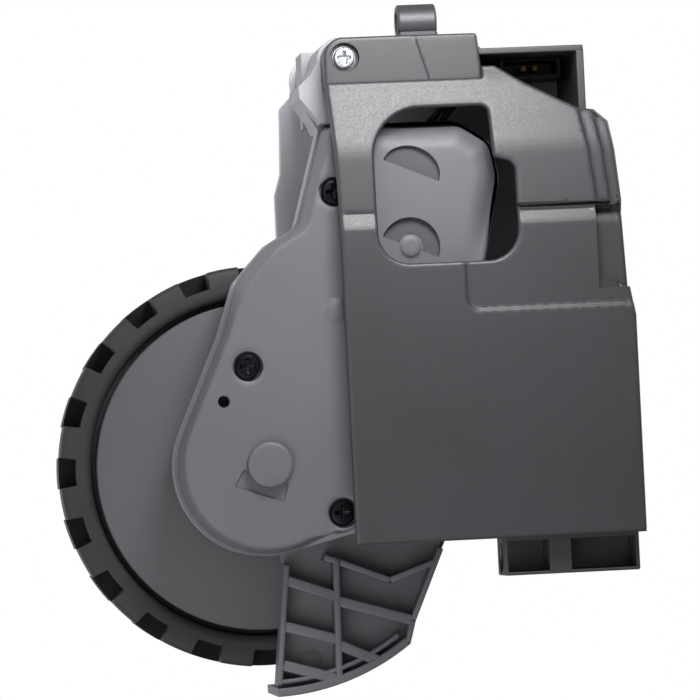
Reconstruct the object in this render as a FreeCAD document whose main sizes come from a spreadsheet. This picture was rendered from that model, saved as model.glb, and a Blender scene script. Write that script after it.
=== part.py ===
import FreeCAD, Part
import math
import os
import re
import Sketcher

# Wheel module of a robot vacuum. Millimetres.
# The frame is that of the module in use: +Z is up, away from the floor.
# The origin is the middle of the front mounting lug's bore.
# X runs from that lug to the wheel, Y runs across the wheel from the cover to the far side.

SIZES = {
    # swing arm hinge and wheel axle
    "pivot_x": 6.05,
    "pivot_z": -13.2,
    "axle_x": 76.1,
    "axle_z": -29.4,
    "run_gap": 0.3,
    "fit_gap": 0.02,
    "turn_gap": 0.05,
    # wheel
    "wheel_mid": 23.5,
    "tyre_radius": 36.0,
    "tyre_half": 8.0,
    "tyre_shoulder": 0.8,
    "sidewall_height": 4.7,
    "recess_depth": 3.4,
    "tread_depth": 2.6,
    "tread_count": 20,
    "notch_degrees": 9.5,
    "notch_land": 1.4,
    "tyre_height": 6.5,
    "hub_step": 0.9,
    "hub_inset": 1.5,
    "hub_web": 2.2,
    "hub_rim_wall": 1.8,
    "hub_far_inset": 1.4,
    "hub_boss_radius": 6.0,
    "hub_boss_length": 11.0,
    "hub_rib": 1.4,
    "hub_rib_count": 8,
    "axle_radius": 2.5,
    "bush_wall": 0.9,
    "bush_flange": 1.2,
    "bush_flange_thick": 0.8,
    # housing panel: faces across the wheel and edges in side view
    "panel_face": -8.5,
    "hood_face": -7.7,
    "block_face": -4.0,
    "panel_wall": 1.8,
    "side_wall": 1.2,
    "fold_x": 10.4,
    "bend_x": 22.6,
    "hood_end": 33.1,
    "slit": 0.5,
    "panel_end": 90.7,
    "panel_low": -15.6,
    "panel_top": 35.2,
    "shoulder_x": 51.0,
    "neck_top": 34.4,
    "hood_top": 31.8,
    "recess_step": 0.4,
    "corner_recess": 3.0,
    "far_inside": 43.5,
    "far_wall": 2.0,
    # block and lugs
    "block_x": 2.7,
    "block_top": 10.4,
    "block_depth": 6.1,
    "lug_outer": 3.1,
    "lug_bore": 1.7,
    "lug_half": 3.45,
    "lug_round": 3.6,
    "pin_radius": 2.0,
    "head_recess": 2.2,
    "rear_x": 97.3,
    "rear_low": 9.7,
    "rear_high": 34.3,
    "rear_near": -4.6,
    "rear_far": 4.5,
    "rear_wall": 1.2,
    "rib_low": 18.4,
    "rib_high": 22.2,
    # connector bay
    "bay_x": 4.6,
    "bay_top": 29.9,
    "bay_back": 20.4,
    "wall_low": -7.2,
    # window in the panel
    "window_x": 15.4,
    "window_end": 42.5,
    "window_low": -9.2,
    "window_high": 15.3,
    "window_step": 11.2,
    "window_round": 5.5,
    # gearbox
    "cover_face": -3.0,
    "part_line": 7.5,
    "case_back": 14.0,
    "case_wall": 1.5,
    "end_radius": 15.9,
    "cover_taper": 6.0,
    "dome_bevel": 2.5,
    "case_top_x": 16.9,
    "ear_radius": 3.7,
    "post_radius": 2.2,
    "counterbore": 2.65,
    "counterbore_depth": 0.9,
    "head_radius": 2.25,
    "head_height": 0.8,
    "shank_radius": 1.0,
    "axle_boss": 3.9,
    "axle_boss_rise": 1.6,
    "gear_boss": 1.85,
    "barrel_radius": 4.2,
    "neck_far": 20.0,
    # gear train: modules, widths and spacing of the stages
    "stage_width": 2.6,
    "stage_gap": 0.4,
    "last_width": 3.4,
    "end_play": 0.3,
    "gear_hub": 1.9,
    "gear_pin": 0.9,
    "backlash": 0.16,
    # motor
    "motor_radius": 11.8,
    "motor_length": 23.8,
    "motor_boss": 3.0,
    "motor_shaft": 1.0,
    "motor_cap": 1.6,
    "cup_wall": 1.3,
    "cup_depth": 6.0,
    # tyre guard
    "guard_near": 9.5,
    "guard_gap": 3.2,
    "guard_wall": 1.5,
    "guard_plate": 1.05,
    "guard_rib": 1.0,
    "guard_sweep": 37.0,
    # drop switch
    "switch_near": 21.5,
    "switch_length": 12.8,
    "switch_width": 5.5,
    "switch_height": 6.5,
    "peg_radius": 0.9,
    "plunger_side": 2.0,
    "plunger_rise": 2.6,
    "plunger_travel": 2.3,
    "plunger_seat": 1.5,
    # torsion spring on the hinge pin
    "spring_wire": 0.9,
    "spring_turns": 4.25,
    "spring_gap": 0.3,
    # leads
    "lead_size": 1.3,
    "socket_high": 4.0,
    "socket_wide": 11.0,
    "socket_deep": 9.1,
}

# Teeth and module of each pair: the small gear that drives and the large one that it turns
PAIRS = [(10, 32, 0.5), (10, 34, 0.6), (11, 34, 0.7), (12, 30, 0.8)]
# Direction in side view from each shaft back to the one before it, from the wheel axle upwards
CHAIN_DEGREES = [135.0, 156.7, 141.65, 162.0]

doc = FreeCAD.newDocument("wheel_module")
sheet = doc.addObject("Spreadsheet::Sheet", "Sizes")
FUNCTIONS = ("sin", "cos", "tan", "sqrt")
rows = 0


def store(name, number):
    """Write one value and its alias to the sheet."""
    global rows
    rows += 1
    sheet.set("A%d" % rows, name)
    sheet.set("B%d" % rows, repr(round(number, 6)))
    sheet.setAlias("B%d" % rows, name)


def bound(text):
    """Turn a formula in plain value names into one that reads the sheet."""
    def cell(match):
        word = match.group(0)
        return word if word in FUNCTIONS else "Sizes." + word
    return re.sub(r"[a-z]\w+", cell, text)


def value(text):
    return float(sheet.evalExpression(bound(text)))


for size_name, size_number in SIZES.items():
    store(size_name, size_number)

# Radii that follow from the tyre's
store("sidewall_inner", SIZES["tyre_radius"] - SIZES["sidewall_height"])
store("hub_radius", SIZES["tyre_radius"] - SIZES["tyre_height"])
store("guard_radius", SIZES["tyre_radius"] + SIZES["guard_gap"] + SIZES["guard_wall"])

# Shaft places follow from the axle and the pitch radii
shafts = [(SIZES["axle_x"], SIZES["axle_z"])]
for (small, large, module), degrees in zip(reversed(PAIRS), CHAIN_DEGREES):
    spacing = module * (small + large) / 2
    last_x, last_z = shafts[-1]
    shafts.append((last_x + spacing * math.cos(math.radians(degrees)),
                   last_z + spacing * math.sin(math.radians(degrees))))
shafts.reverse()
for shaft_name, (shaft_x, shaft_z) in zip(("motor", "one", "two", "three"), shafts):
    store(shaft_name + "_x", shaft_x)
    store(shaft_name + "_z", shaft_z)

# Stage planes across the gearbox, counted from the cover's inner face
planes = {}
plane_start = SIZES["cover_face"] + SIZES["case_wall"] + 2 * SIZES["end_play"]
for stage, width_name in ((3, "last_width"), (2, "stage_width"), (1, "stage_width"), (0, "stage_width")):
    planes[stage] = (plane_start, plane_start + SIZES[width_name])
    plane_start = planes[stage][1] + SIZES["stage_gap"]
for stage, (low, high) in planes.items():
    store("stage%d_near" % stage, low)
    store("stage%d_far" % stage, high)
doc.recompute()

ALONG_Y = FreeCAD.Rotation(FreeCAD.Vector(1, 0, 0), -90)
ALONG_X = FreeCAD.Rotation(FreeCAD.Vector(0, 1, 0), 90)
nodes = []


def place(obj, x, y, z, turn=FreeCAD.Rotation()):
    """Bind an object's position to formulas."""
    obj.Placement = FreeCAD.Placement(FreeCAD.Vector(value(x), value(y), value(z)), turn)
    for axis, text in zip("xyz", (x, y, z)):
        obj.setExpression("Placement.Base." + axis, bound(text))


def body(label):
    made = doc.addObject("PartDesign::Body", label)
    made.Label = label
    nodes.append(made)
    return made


def arc_points(start, end, radius, side):
    """Centre and angles of an arc; side +1 has the centre on the left of start to end."""
    middle = (start + end) * 0.5
    chord = end - start
    reach = math.sqrt(max(radius * radius - chord.Length ** 2 / 4, 0))
    left = FreeCAD.Vector(-chord.y, chord.x, 0).normalize()
    centre = middle + left * reach * side
    first = math.atan2(start.y - centre.y, start.x - centre.x)
    last = math.atan2(end.y - centre.y, end.x - centre.x)
    return centre, first, last


def draw_loop(sketch, loop):
    """Closed outline of formula pairs; (x, y, radius, side) starts an arc to the next point."""
    points = [FreeCAD.Vector(value(item[0]), value(item[1]), 0) for item in loop]
    ends = []
    for number, item in enumerate(loop):
        start, end = points[number], points[(number + 1) % len(loop)]
        if len(item) == 2:
            made = sketch.addGeometry(Part.LineSegment(start, end), False)
            ends.append((made, 1, 2))
            continue
        centre, first, last = arc_points(start, end, value(item[2]), item[3])
        circle = Part.Circle(centre, FreeCAD.Vector(0, 0, 1), value(item[2]))
        if item[3] > 0:
            made = sketch.addGeometry(Part.ArcOfCircle(circle, first, last), False)
            ends.append((made, 1, 2))
        else:
            made = sketch.addGeometry(Part.ArcOfCircle(circle, last, first), False)
            ends.append((made, 2, 1))
        rule = sketch.addConstraint(Sketcher.Constraint("Radius", made, value(item[2])))
        sketch.setExpression("Constraints[%d]" % rule, bound(item[2]))
    for number, (made, first, last) in enumerate(ends):
        other, other_first, other_last = ends[(number + 1) % len(ends)]
        sketch.addConstraint(Sketcher.Constraint("Coincident", made, last, other, other_first))
    for (made, first, last), point, item in zip(ends, points, loop):
        for kind, number, text in (("DistanceX", point.x, item[0]), ("DistanceY", point.y, item[1])):
            rule = sketch.addConstraint(Sketcher.Constraint(kind, -1, 1, made, first, number))
            sketch.setExpression("Constraints[%d]" % rule, bound(text))


def draw_circle(sketch, x, y, radius):
    centre = FreeCAD.Vector(value(x), value(y), 0)
    made = sketch.addGeometry(Part.Circle(centre, FreeCAD.Vector(0, 0, 1), value(radius)), False)
    for kind, number, text in (("DistanceX", centre.x, x), ("DistanceY", centre.y, y)):
        rule = sketch.addConstraint(Sketcher.Constraint(kind, -1, 1, made, 3, number))
        sketch.setExpression("Constraints[%d]" % rule, bound(text))
    rule = sketch.addConstraint(Sketcher.Constraint("Radius", made, value(radius)))
    sketch.setExpression("Constraints[%d]" % rule, bound(radius))


def sketch_on(owner, role, lift, loops=(), circles=()):
    """Sketch on one of the body's own origin planes, lifted along the plane's normal."""
    plane = [item for item in owner.Origin.OriginFeatures if item.Role == role][0]
    made = owner.newObject("Sketcher::SketchObject", owner.Name + "_sketch")
    made.AttachmentSupport = [(plane, "")]
    made.MapMode = "FlatFace"
    made.setExpression("AttachmentOffset.Base.z", bound(lift))
    for loop in loops:
        draw_loop(made, loop)
    for circle in circles:
        draw_circle(made, *circle)
    return made


def extrude(owner, kind, role, near, far, loops=(), circles=(), taper=None):
    """Pad or Pocket between two planes: side view for XZ, plan for XY, front view for YZ."""
    sign = "-" if role == "XZ_Plane" else ""
    made = owner.newObject("PartDesign::" + kind, owner.Name + "_" + kind.lower())
    made.Profile = sketch_on(owner, role, "%s(%s)" % (sign, near), loops, circles)
    made.setExpression("Length", bound("(%s) - (%s)" % (far, near)))
    if taper:
        made.setExpression("TaperAngle", bound(taper))
    # The side view's plane faces -Y, and a pocket cuts against its plane's normal
    made.Reversed = (kind == "Pad") == (role == "XZ_Plane")
    doc.recompute()
    return made


def pad(owner, near, far, loops=(), circles=(), role="XZ_Plane", taper=None):
    return extrude(owner, "Pad", role, near, far, loops, circles, taper)


def pocket(owner, near, far, loops=(), circles=(), role="XZ_Plane"):
    """Cut between two planes and check that material went."""
    before = owner.Shape.Volume
    made = extrude(owner, "Pocket", role, near, far, loops, circles)
    if owner.Shape.Volume > before - 1e-6:
        raise RuntimeError("pocket cut nothing in " + owner.Label)
    return made


def box_loop(x_low, x_high, z_low, z_high):
    return [(x_low, z_low), (x_high, z_low), (x_high, z_high), (x_low, z_high)]


def revolve(owner, loop):
    """Turn a half section about the body's own Z axis."""
    made = owner.newObject("PartDesign::Revolution", owner.Name + "_turned")
    profile = sketch_on(owner, "XZ_Plane", "0", [loop])
    made.Profile = profile
    made.ReferenceAxis = (profile, ["V_Axis"])
    made.Angle = 360
    doc.recompute()
    return made


def repeat_round(owner, feature, count):
    """Copies of a feature round the body's own Z axis."""
    axis = [item for item in owner.Origin.OriginFeatures if item.Role == "Z_Axis"][0]
    made = owner.newObject("PartDesign::PolarPattern", owner.Name + "_pattern")
    made.Originals = [feature]
    made.Axis = (axis, [""])
    made.Angle = 360
    made.setExpression("Occurrences", bound(count))
    owner.Tip = made
    doc.recompute()
    return made


def rod(name, radius, near, far, x, z, turn=ALONG_Y):
    """Cylinder along Y between two planes."""
    made = doc.addObject("Part::Cylinder", name)
    made.setExpression("Radius", bound(radius))
    made.setExpression("Height", bound("(%s) - (%s)" % (far, near)))
    place(made, x, near, z, turn)
    return made


def block(name, x_low, x_high, y_low, y_high, z_low, z_high):
    made = doc.addObject("Part::Box", name)
    for side, low, high in (("Length", x_low, x_high), ("Width", y_low, y_high), ("Height", z_low, z_high)):
        made.setExpression(side, bound("(%s) - (%s)" % (high, low)))
    place(made, x_low, y_low, z_low)
    return made


def join(label, parts, keep=True):
    made = doc.addObject("Part::MultiFuse", label)
    made.Shapes = parts
    made.Label = label
    if keep:
        nodes.append(made)
    return made


def cut(label, base, tool, keep=True):
    made = doc.addObject("Part::Cut", label)
    made.Base = base
    made.Tool = tool
    made.Label = label
    if keep:
        nodes.append(made)
    return made


def group(label, parts):
    """Separate solids that share one node."""
    made = doc.addObject("Part::Compound", label)
    made.Links = parts
    made.Label = label
    nodes.append(made)
    return made


def computed(label, shape):
    made = doc.addObject("Part::Feature", label)
    made.Shape = shape
    made.Label = label
    nodes.append(made)
    return made


# Outlines in side view that more than one piece shares
SCREWS = [("axle_x - 17.2", "axle_z - 3.0"), ("axle_x + 8.9", "axle_z + 12.4"),
          ("motor_x - 0.2", "motor_z - 16.1"), ("three_x - 5.4", "three_z + 17.0")]
GEAR_SHAFTS = [("one_x", "one_z"), ("two_x", "two_z"), ("three_x", "three_z")]


def case_outline(shrink="0"):
    """Side view of the gearbox apart from its round wheel end, drawn in by a wall."""
    reach = "(end_radius - %s)" % shrink
    corners = [
        ("case_top_x", "motor_z - 17.2", 1, 1),
        ("case_top_x", "motor_z + 7.0", 1, 0),
        ("case_top_x + 4.0", "motor_z + 13.0", 0.5, -0.9),
        ("motor_x - 2.0", "motor_z + 14.3", 0.1, -1),
        ("one_x + 3.0", "one_z + 14.2", 0, -1),
        ("two_x + 6.5", "two_z + 17.2", -0.4, -1),
        ("three_x + 6.2", "three_z + 16.0", -0.6, -1),
        ("axle_x + 5.2", "axle_z + 22.0", -0.7, -0.8),
        ("axle_x + 12.4", "axle_z + 16.0", -1, -0.6),
    ]
    loop = [("%s + %g * %s" % (x, along, shrink), "%s + %g * %s" % (z, across, shrink))
            for x, z, along, across in corners]
    loop.append(("axle_x + %s * cos(20)" % reach, "axle_z + %s * sin(20)" % reach))
    loop.append(("axle_x", "axle_z"))
    loop.append(("axle_x + %s * cos(245)" % reach, "axle_z + %s * sin(245)" % reach))
    left = [("axle_x - 23.0", "axle_z - 7.1", 0.4, 1.1), ("axle_x - 32.2", "axle_z - 4.0", 0.4, 1.1),
            ("axle_x - 38.6", "axle_z + 1.9", 0.7, 1), ("axle_x - 41.6", "axle_z + 7.3", 0.6, 1)]
    loop += [("%s + %g * %s" % (x, along, shrink), "%s + %g * %s" % (z, across, shrink))
             for x, z, along, across in left]
    return loop


def add_gearbox_outline(owner, near, far, shrink="0", taper=None):
    pad(owner, near, far, [case_outline(shrink)], taper=taper)
    pad(owner, near, far, circles=[("axle_x", "axle_z", "end_radius - %s" % shrink)], taper=taper)
    pad(owner, near, far, circles=[SCREWS[1] + ("ear_radius",)])


# Tyre: turned rubber ring with two rows of notches, set half a pitch apart
tyre = body("tyre")
place(tyre, "axle_x", "wheel_mid", "axle_z", ALONG_Y)
SEAT = "(hub_radius - hub_step + fit_gap)"
revolve(tyre, [
    (SEAT, "-tyre_half + hub_inset + hub_web + fit_gap"),
    ("hub_radius + fit_gap", "-tyre_half + hub_inset + hub_web + fit_gap"),
    ("hub_radius + fit_gap", "-tyre_half + recess_depth"),
    ("sidewall_inner", "-tyre_half + recess_depth"),
    ("sidewall_inner", "-tyre_half + tyre_shoulder / 2"),
    ("sidewall_inner + tyre_shoulder", "-tyre_half"),
    ("tyre_radius - tyre_shoulder", "-tyre_half"),
    ("tyre_radius", "-tyre_half + tyre_shoulder"),
    ("tyre_radius", "tyre_half - tyre_shoulder"),
    ("tyre_radius - tyre_shoulder", "tyre_half"),
    ("sidewall_inner + tyre_shoulder", "tyre_half"),
    ("sidewall_inner", "tyre_half - tyre_shoulder / 2"),
    ("sidewall_inner", "tyre_half - hub_far_inset"),
    (SEAT, "tyre_half - hub_far_inset"),
])


def notch_outline(middle):
    """Four corners of one notch, cut across the tread about a middle angle."""
    floor = "(tyre_radius - tread_depth)"
    outside = "(tyre_radius * 1.04)"
    angles = ["%s - notch_degrees / 2" % middle, "%s + notch_degrees / 2" % middle]
    return [("%s * cos(%s)" % (radius, angle), "%s * sin(%s)" % (radius, angle))
            for radius, angle in ((floor, angles[0]), (outside, angles[0]),
                                  (outside, angles[1]), (floor, angles[1]))]


for side_near, side_far, middle in (("-tyre_half - 1", "-notch_land / 2", "0"),
                                    ("notch_land / 2", "tyre_half + 1", "180 / tread_count")):
    notch = pocket(tyre, side_near, side_far, [notch_outline(middle)], role="XY_Plane")
    repeat_round(tyre, notch, "tread_count")

# Hub: disc, rim and ribbed back, moulded as one
hub = body("wheel_hub")
place(hub, "axle_x", "wheel_mid", "axle_z", ALONG_Y)
HUB_FACE = "-tyre_half + hub_inset"
RIM = "(hub_radius - hub_step)"
revolve(hub, [
    ("axle_radius + fit_gap", HUB_FACE),
    ("hub_radius", HUB_FACE),
    ("hub_radius", HUB_FACE + " + hub_web"),
    (RIM, HUB_FACE + " + hub_web"),
    (RIM, "tyre_half - hub_far_inset"),
    (RIM + " - hub_rim_wall", "tyre_half - hub_far_inset"),
    (RIM + " - hub_rim_wall", HUB_FACE + " + hub_web"),
    ("hub_boss_radius", HUB_FACE + " + hub_web"),
    ("hub_boss_radius", HUB_FACE + " + hub_boss_length"),
    ("axle_radius + fit_gap", HUB_FACE + " + hub_boss_length"),
])
hub_rib = pad(hub, HUB_FACE + " + hub_web / 2", HUB_FACE + " + hub_boss_length - 1",
              [box_loop("hub_boss_radius - 0.5", RIM + " - hub_rim_wall / 2", "-hub_rib / 2", "hub_rib / 2")],
              role="XY_Plane")
repeat_round(hub, hub_rib, "hub_rib_count")

# Axle, turned on its bushes and held in the hub by a screw
AXLE_NEAR = "cover_face - axle_boss_rise + 1.0"
HUB_END = "(wheel_mid - tyre_half + hub_inset + hub_boss_length)"
axle_bar = rod("axle_bar", "axle_radius", AXLE_NEAR, HUB_END + " - run_gap", "axle_x", "axle_z")
axle_hole = rod("axle_hole", "shank_radius + fit_gap", HUB_END + " - 7", HUB_END + " + 1", "axle_x", "axle_z")
cut("wheel_axle", axle_bar, axle_hole)
hub_head = rod("hub_head", "axle_radius + 1.6", HUB_END + " + fit_gap", HUB_END + " + head_height",
               "axle_x", "axle_z")
hub_shank = rod("hub_shank", "shank_radius", HUB_END + " - 6", HUB_END + " + 0.5", "axle_x", "axle_z")
join("hub_screw", [hub_head, hub_shank])


def bush(label_part, near, far, flange_near, flange_far):
    """Flanged sleeve round the axle."""
    sleeve = rod(label_part + "_sleeve", "axle_radius + bush_wall", near, far, "axle_x", "axle_z")
    flange = rod(label_part + "_flange", "axle_radius + bush_flange", flange_near, flange_far,
                 "axle_x", "axle_z")
    hole = rod(label_part + "_hole", "axle_radius + turn_gap", near + " - 1", far + " + 1", "axle_x", "axle_z")
    return cut(label_part, join(label_part + "_blank", [sleeve, flange], keep=False), hole, keep=False)


CASE_INSIDE = "(case_back - case_wall)"
COVER_INSIDE = "(cover_face + case_wall)"
BOSS_FAR = "(case_back + 2.4)"
near_bush = bush("near_bush", COVER_INSIDE + " - 2.2", COVER_INSIDE + " + 0.3",
                 COVER_INSIDE + " + fit_gap", COVER_INSIDE + " + 0.3")
far_bush = bush("far_bush", CASE_INSIDE + " - bush_flange_thick", BOSS_FAR,
                CASE_INSIDE + " - bush_flange_thick", CASE_INSIDE + " - fit_gap")
group("axle_bushes", [near_bush, far_bush])


def gear_wire(teeth, module, phase):
    """Spur gear outline: involute flanks at base, pitch and tip, thinned by the backlash."""
    pitch = teeth * module / 2
    base = pitch * math.cos(math.radians(20))
    tip = pitch + module * 0.95
    root = pitch - module * 1.2
    half = (math.pi * module / 2 - SIZES["backlash"]) / 2 / pitch
    roll = math.tan(math.radians(20)) - math.radians(20)

    def flank(radius):
        if radius <= base:
            return half + roll
        lean = math.acos(base / radius)
        return half + roll - (math.tan(lean) - lean)

    radii = [root, max(base, root + 0.02), pitch, (pitch + tip) / 2, tip]
    points = []
    for tooth in range(teeth):
        middle = phase + 2 * math.pi * tooth / teeth
        side = [(radius, flank(radius)) for radius in radii]
        side[0] = (root, side[1][1] * 1.05)
        for radius, angle in side:
            points.append((radius, middle - angle))
        for radius, angle in reversed(side):
            points.append((radius, middle + angle))
    corners = [FreeCAD.Vector(radius * math.cos(angle), 0, radius * math.sin(angle)) for radius, angle in points]
    return Part.makePolygon(corners + corners[:1])


def gear_body(teeth, module, phase, near, far):
    face = Part.Face(gear_wire(teeth, module, phase))
    face.translate(FreeCAD.Vector(0, near, 0))
    return face.extrude(FreeCAD.Vector(0, far - near, 0))


def drum(radius, near, far):
    return Part.makeCylinder(radius, far - near, FreeCAD.Vector(0, near, 0), FreeCAD.Vector(0, 1, 0))


# Tooth phases: each large gear has a gap where the small gear before it has a tooth
phases = []
small_phase = 0.0
for pair, (small, large, module) in enumerate(PAIRS):
    (x_a, z_a), (x_b, z_b) = shafts[pair], shafts[pair + 1]
    line = math.atan2(z_b - z_a, x_b - x_a)
    large_phase = line + math.pi + math.pi / large - (small_phase - line) * small / large
    phases.append((small_phase, large_phase))
    small_phase = large_phase

HOLE = SIZES["gear_pin"] + SIZES["turn_gap"]
inside_near = value(COVER_INSIDE) + SIZES["end_play"]
inside_far = value(CASE_INSIDE) - SIZES["end_play"]


def gear_at(label, shape, shaft):
    """A wheel of the train, placed on its shaft."""
    made = computed(label, shape.removeSplitter())
    made.Placement = FreeCAD.Placement(FreeCAD.Vector(shaft[0], 0, shaft[1]), FreeCAD.Rotation())
    return made


for pair, label in ((0, "first_gear"), (1, "second_gear"), (2, "third_gear")):
    large, large_module = PAIRS[pair][1], PAIRS[pair][2]
    small, small_module = PAIRS[pair + 1][0], PAIRS[pair + 1][2]
    wheel = gear_body(large, large_module, phases[pair][1], *planes[pair])
    pinion_near, pinion_far = planes[pair + 1]
    pinion = gear_body(small, small_module, phases[pair + 1][0], pinion_near, pinion_far + SIZES["stage_gap"])
    shape = wheel.fuse(pinion).fuse(drum(SIZES["gear_hub"], inside_near, inside_far))
    gear_at(label, shape.cut(drum(HOLE, inside_near - 1, inside_far + 1)), shafts[pair + 1])

small, large, module = PAIRS[3]
output = gear_body(large, module, phases[3][1], *planes[3])
output = output.fuse(drum(SIZES["axle_radius"] + 1.5, planes[3][0], planes[3][1] + 2))
output = output.cut(drum(SIZES["axle_radius"] + SIZES["fit_gap"], planes[3][0] - 1, planes[3][1] + 3))
gear_at("output_gear", output, shafts[4])

small, large, module = PAIRS[0]
pinion = gear_body(small, module, phases[0][0], planes[0][0] - 0.3, planes[0][1] + 0.3)
pinion = pinion.cut(drum(SIZES["motor_shaft"] + SIZES["fit_gap"], planes[0][0] - 1, planes[0][1] + 1))
gear_at("motor_pinion", pinion, shafts[0])

# Pins of the three middle gears, in blind holes of the case and the cover
PIN_NEAR = "cover_face + 0.6"
PIN_FAR = "case_back - 0.6"
group("gear_pins", [rod("gear_pin_%d" % number, "gear_pin", PIN_NEAR, PIN_FAR, x, z)
                    for number, (x, z) in enumerate(GEAR_SHAFTS)])

# Motor: can, end cap with terminals, shaft
MOTOR_NEAR = "(case_back + 0.1)"
MOTOR_FAR = "(case_back + 0.1 + motor_length)"
can = rod("can_shell", "motor_radius", MOTOR_NEAR, MOTOR_FAR, "motor_x", "motor_z")
can_boss = rod("can_boss", "motor_boss", "case_back - case_wall + 0.1", MOTOR_NEAR + " + 0.5", "motor_x", "motor_z")
can_bore = rod("can_bore", "motor_shaft + turn_gap", "case_back - case_wall - 1", MOTOR_FAR + " + 1",
               "motor_x", "motor_z")
cut("motor_can", join("can_blank", [can, can_boss], keep=False), can_bore)
cap_disc = rod("cap_disc", "motor_radius - 0.7", MOTOR_FAR + " + fit_gap", MOTOR_FAR + " + motor_cap",
               "motor_x", "motor_z")
cap_boss = rod("cap_boss", "motor_boss", MOTOR_FAR + " + motor_cap - 0.3", MOTOR_FAR + " + motor_cap + 1",
               "motor_x", "motor_z")
cap_bore = rod("cap_bore", "motor_shaft + turn_gap", MOTOR_FAR + " - 1", MOTOR_FAR + " + motor_cap + 0.4",
               "motor_x", "motor_z")
cut("motor_end_cap", join("cap_blank", [cap_disc, cap_boss], keep=False), cap_bore)
TAB_NEAR = MOTOR_FAR + " + motor_cap + fit_gap"
group("motor_terminals", [
    block("terminal_%d" % number, "motor_x - 5.2", "motor_x - 4.7", TAB_NEAR, TAB_NEAR + " + 2.2",
          "motor_z %s" % low, "motor_z %s" % high)
    for number, (low, high) in enumerate((("- 5.2", "- 3.2"), ("+ 3.2", "+ 5.2")))])
shaft_bar = rod("motor_shaft_bar", "motor_shaft", "stage0_near - 0.5", MOTOR_FAR + " + motor_cap", "motor_x",
                "motor_z")
shaft_bar.Label = "motor_shaft"
nodes.append(shaft_bar)

# Gearbox case: far half of the gearbox, with motor cup, neck and hinge barrel
case = body("gearbox_case")
add_gearbox_outline(case, "part_line", "case_back")
pad(case, "case_back", "case_back + cup_depth", circles=[("motor_x", "motor_z", "motor_radius + cup_wall + fit_gap")])
pad(case, "case_back - 0.5", BOSS_FAR, circles=[("axle_x", "axle_z", "axle_radius + bush_wall + 1.5")])
BARREL_NEAR = "(block_face + block_depth + run_gap)"
BARREL_FAR = "(far_inside - run_gap)"


def neck_outline(end):
    """Side view of the arm between hinge barrel and gearbox."""
    return [
        ("pivot_x", "pivot_z - barrel_radius"),
        ("pivot_x + 2.2", "pivot_z - 5.4"),
        ("pivot_x + 4.2", "pivot_z - 7.6"),
        ("pivot_x + 6.2", "pivot_z - 7.6"),
        ("pivot_x + 8.0", "pivot_z - 6.2"),
        (end, "motor_z - 17.4"),
        (end, "motor_z - 8.0"),
        ("pivot_x + 5.5", "pivot_z + 2.6"),
        ("pivot_x", "pivot_z + barrel_radius"),
    ]


pad(case, BARREL_NEAR, "part_line", [neck_outline("case_top_x - fit_gap")])
pad(case, "part_line", "neck_far", [neck_outline("case_top_x + 1")])
pad(case, BARREL_NEAR, BARREL_FAR, circles=[("pivot_x", "pivot_z", "barrel_radius")])

# Room for the spring's coil in the barrel, bridged by a rib below
COIL = "(pin_radius + spring_gap + spring_wire)"
COIL_NEAR = "(neck_far + run_gap)"
COIL_PITCH = "(spring_wire * 1.08)"
COIL_FAR = "(neck_far + 3 * run_gap + spring_wire + spring_turns * %s)" % COIL_PITCH
COIL_START = "(%s + run_gap + spring_wire / 2)" % COIL_NEAR
LEG_Z = "(pivot_z - pin_radius - spring_gap - spring_wire / 2)"
pad(case, "neck_far - 2", COIL_FAR + " + 2",
    [box_loop("pivot_x - 3", "pivot_x + 3", "pivot_z - barrel_radius - 1.2", "pivot_z - 3")])
pocket(case, COIL_NEAR, COIL_FAR, [box_loop("pivot_x - barrel_radius - 1", "pivot_x + barrel_radius + 1",
                                            "pivot_z - 1.5", "pivot_z + barrel_radius + 1")])
pocket(case, COIL_NEAR, COIL_FAR, circles=[("pivot_x", "pivot_z", COIL + " + run_gap")])

# Slot and shelf for the spring's moving leg, stop tab and switch finger
pocket(case, COIL_NEAR, COIL_START + " + spring_wire / 2 + run_gap",
       [box_loop("pivot_x", "pivot_x + barrel_radius + 1", LEG_Z + " - spring_wire / 2 - turn_gap",
                 LEG_Z + " + spring_wire / 2 + turn_gap")])
pad(case, "neck_far - 1", "neck_far + 2.2",
    [box_loop("pivot_x + 5.5", "pivot_x + 10.5", LEG_Z + " - spring_wire / 2 - 2.4",
              LEG_Z + " - spring_wire / 2 - turn_gap")])
pad(case, "part_line", "neck_far - 4",
    [box_loop("bay_x - 1.6", "bay_x + side_wall", "pivot_z + 3", "wall_low - run_gap")])
SWITCH_MID = "(switch_near + switch_length / 2)"
SWITCH_LOW = "(wall_low + run_gap)"
SWITCH_X = "(bay_x + side_wall + turn_gap)"
SWITCH_FRONT = "(%s + switch_width)" % SWITCH_X
FINGER_X = "(%s + plunger_rise + run_gap / 2)" % SWITCH_FRONT
pad(case, SWITCH_MID + " - plunger_side / 2", SWITCH_MID + " + plunger_side / 2", [[
    ("pivot_x + 2.2", "pivot_z + 2.4"), (FINGER_X, "pivot_z + 4.2"), (FINGER_X, SWITCH_LOW + " + plunger_side / 2"),
    (FINGER_X + " + 1.8", SWITCH_LOW + " + plunger_side / 2"), (FINGER_X + " + 1.8", "pivot_z + 2.6"),
    ("pivot_x + 3.3", "pivot_z + 0.8")]])

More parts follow.
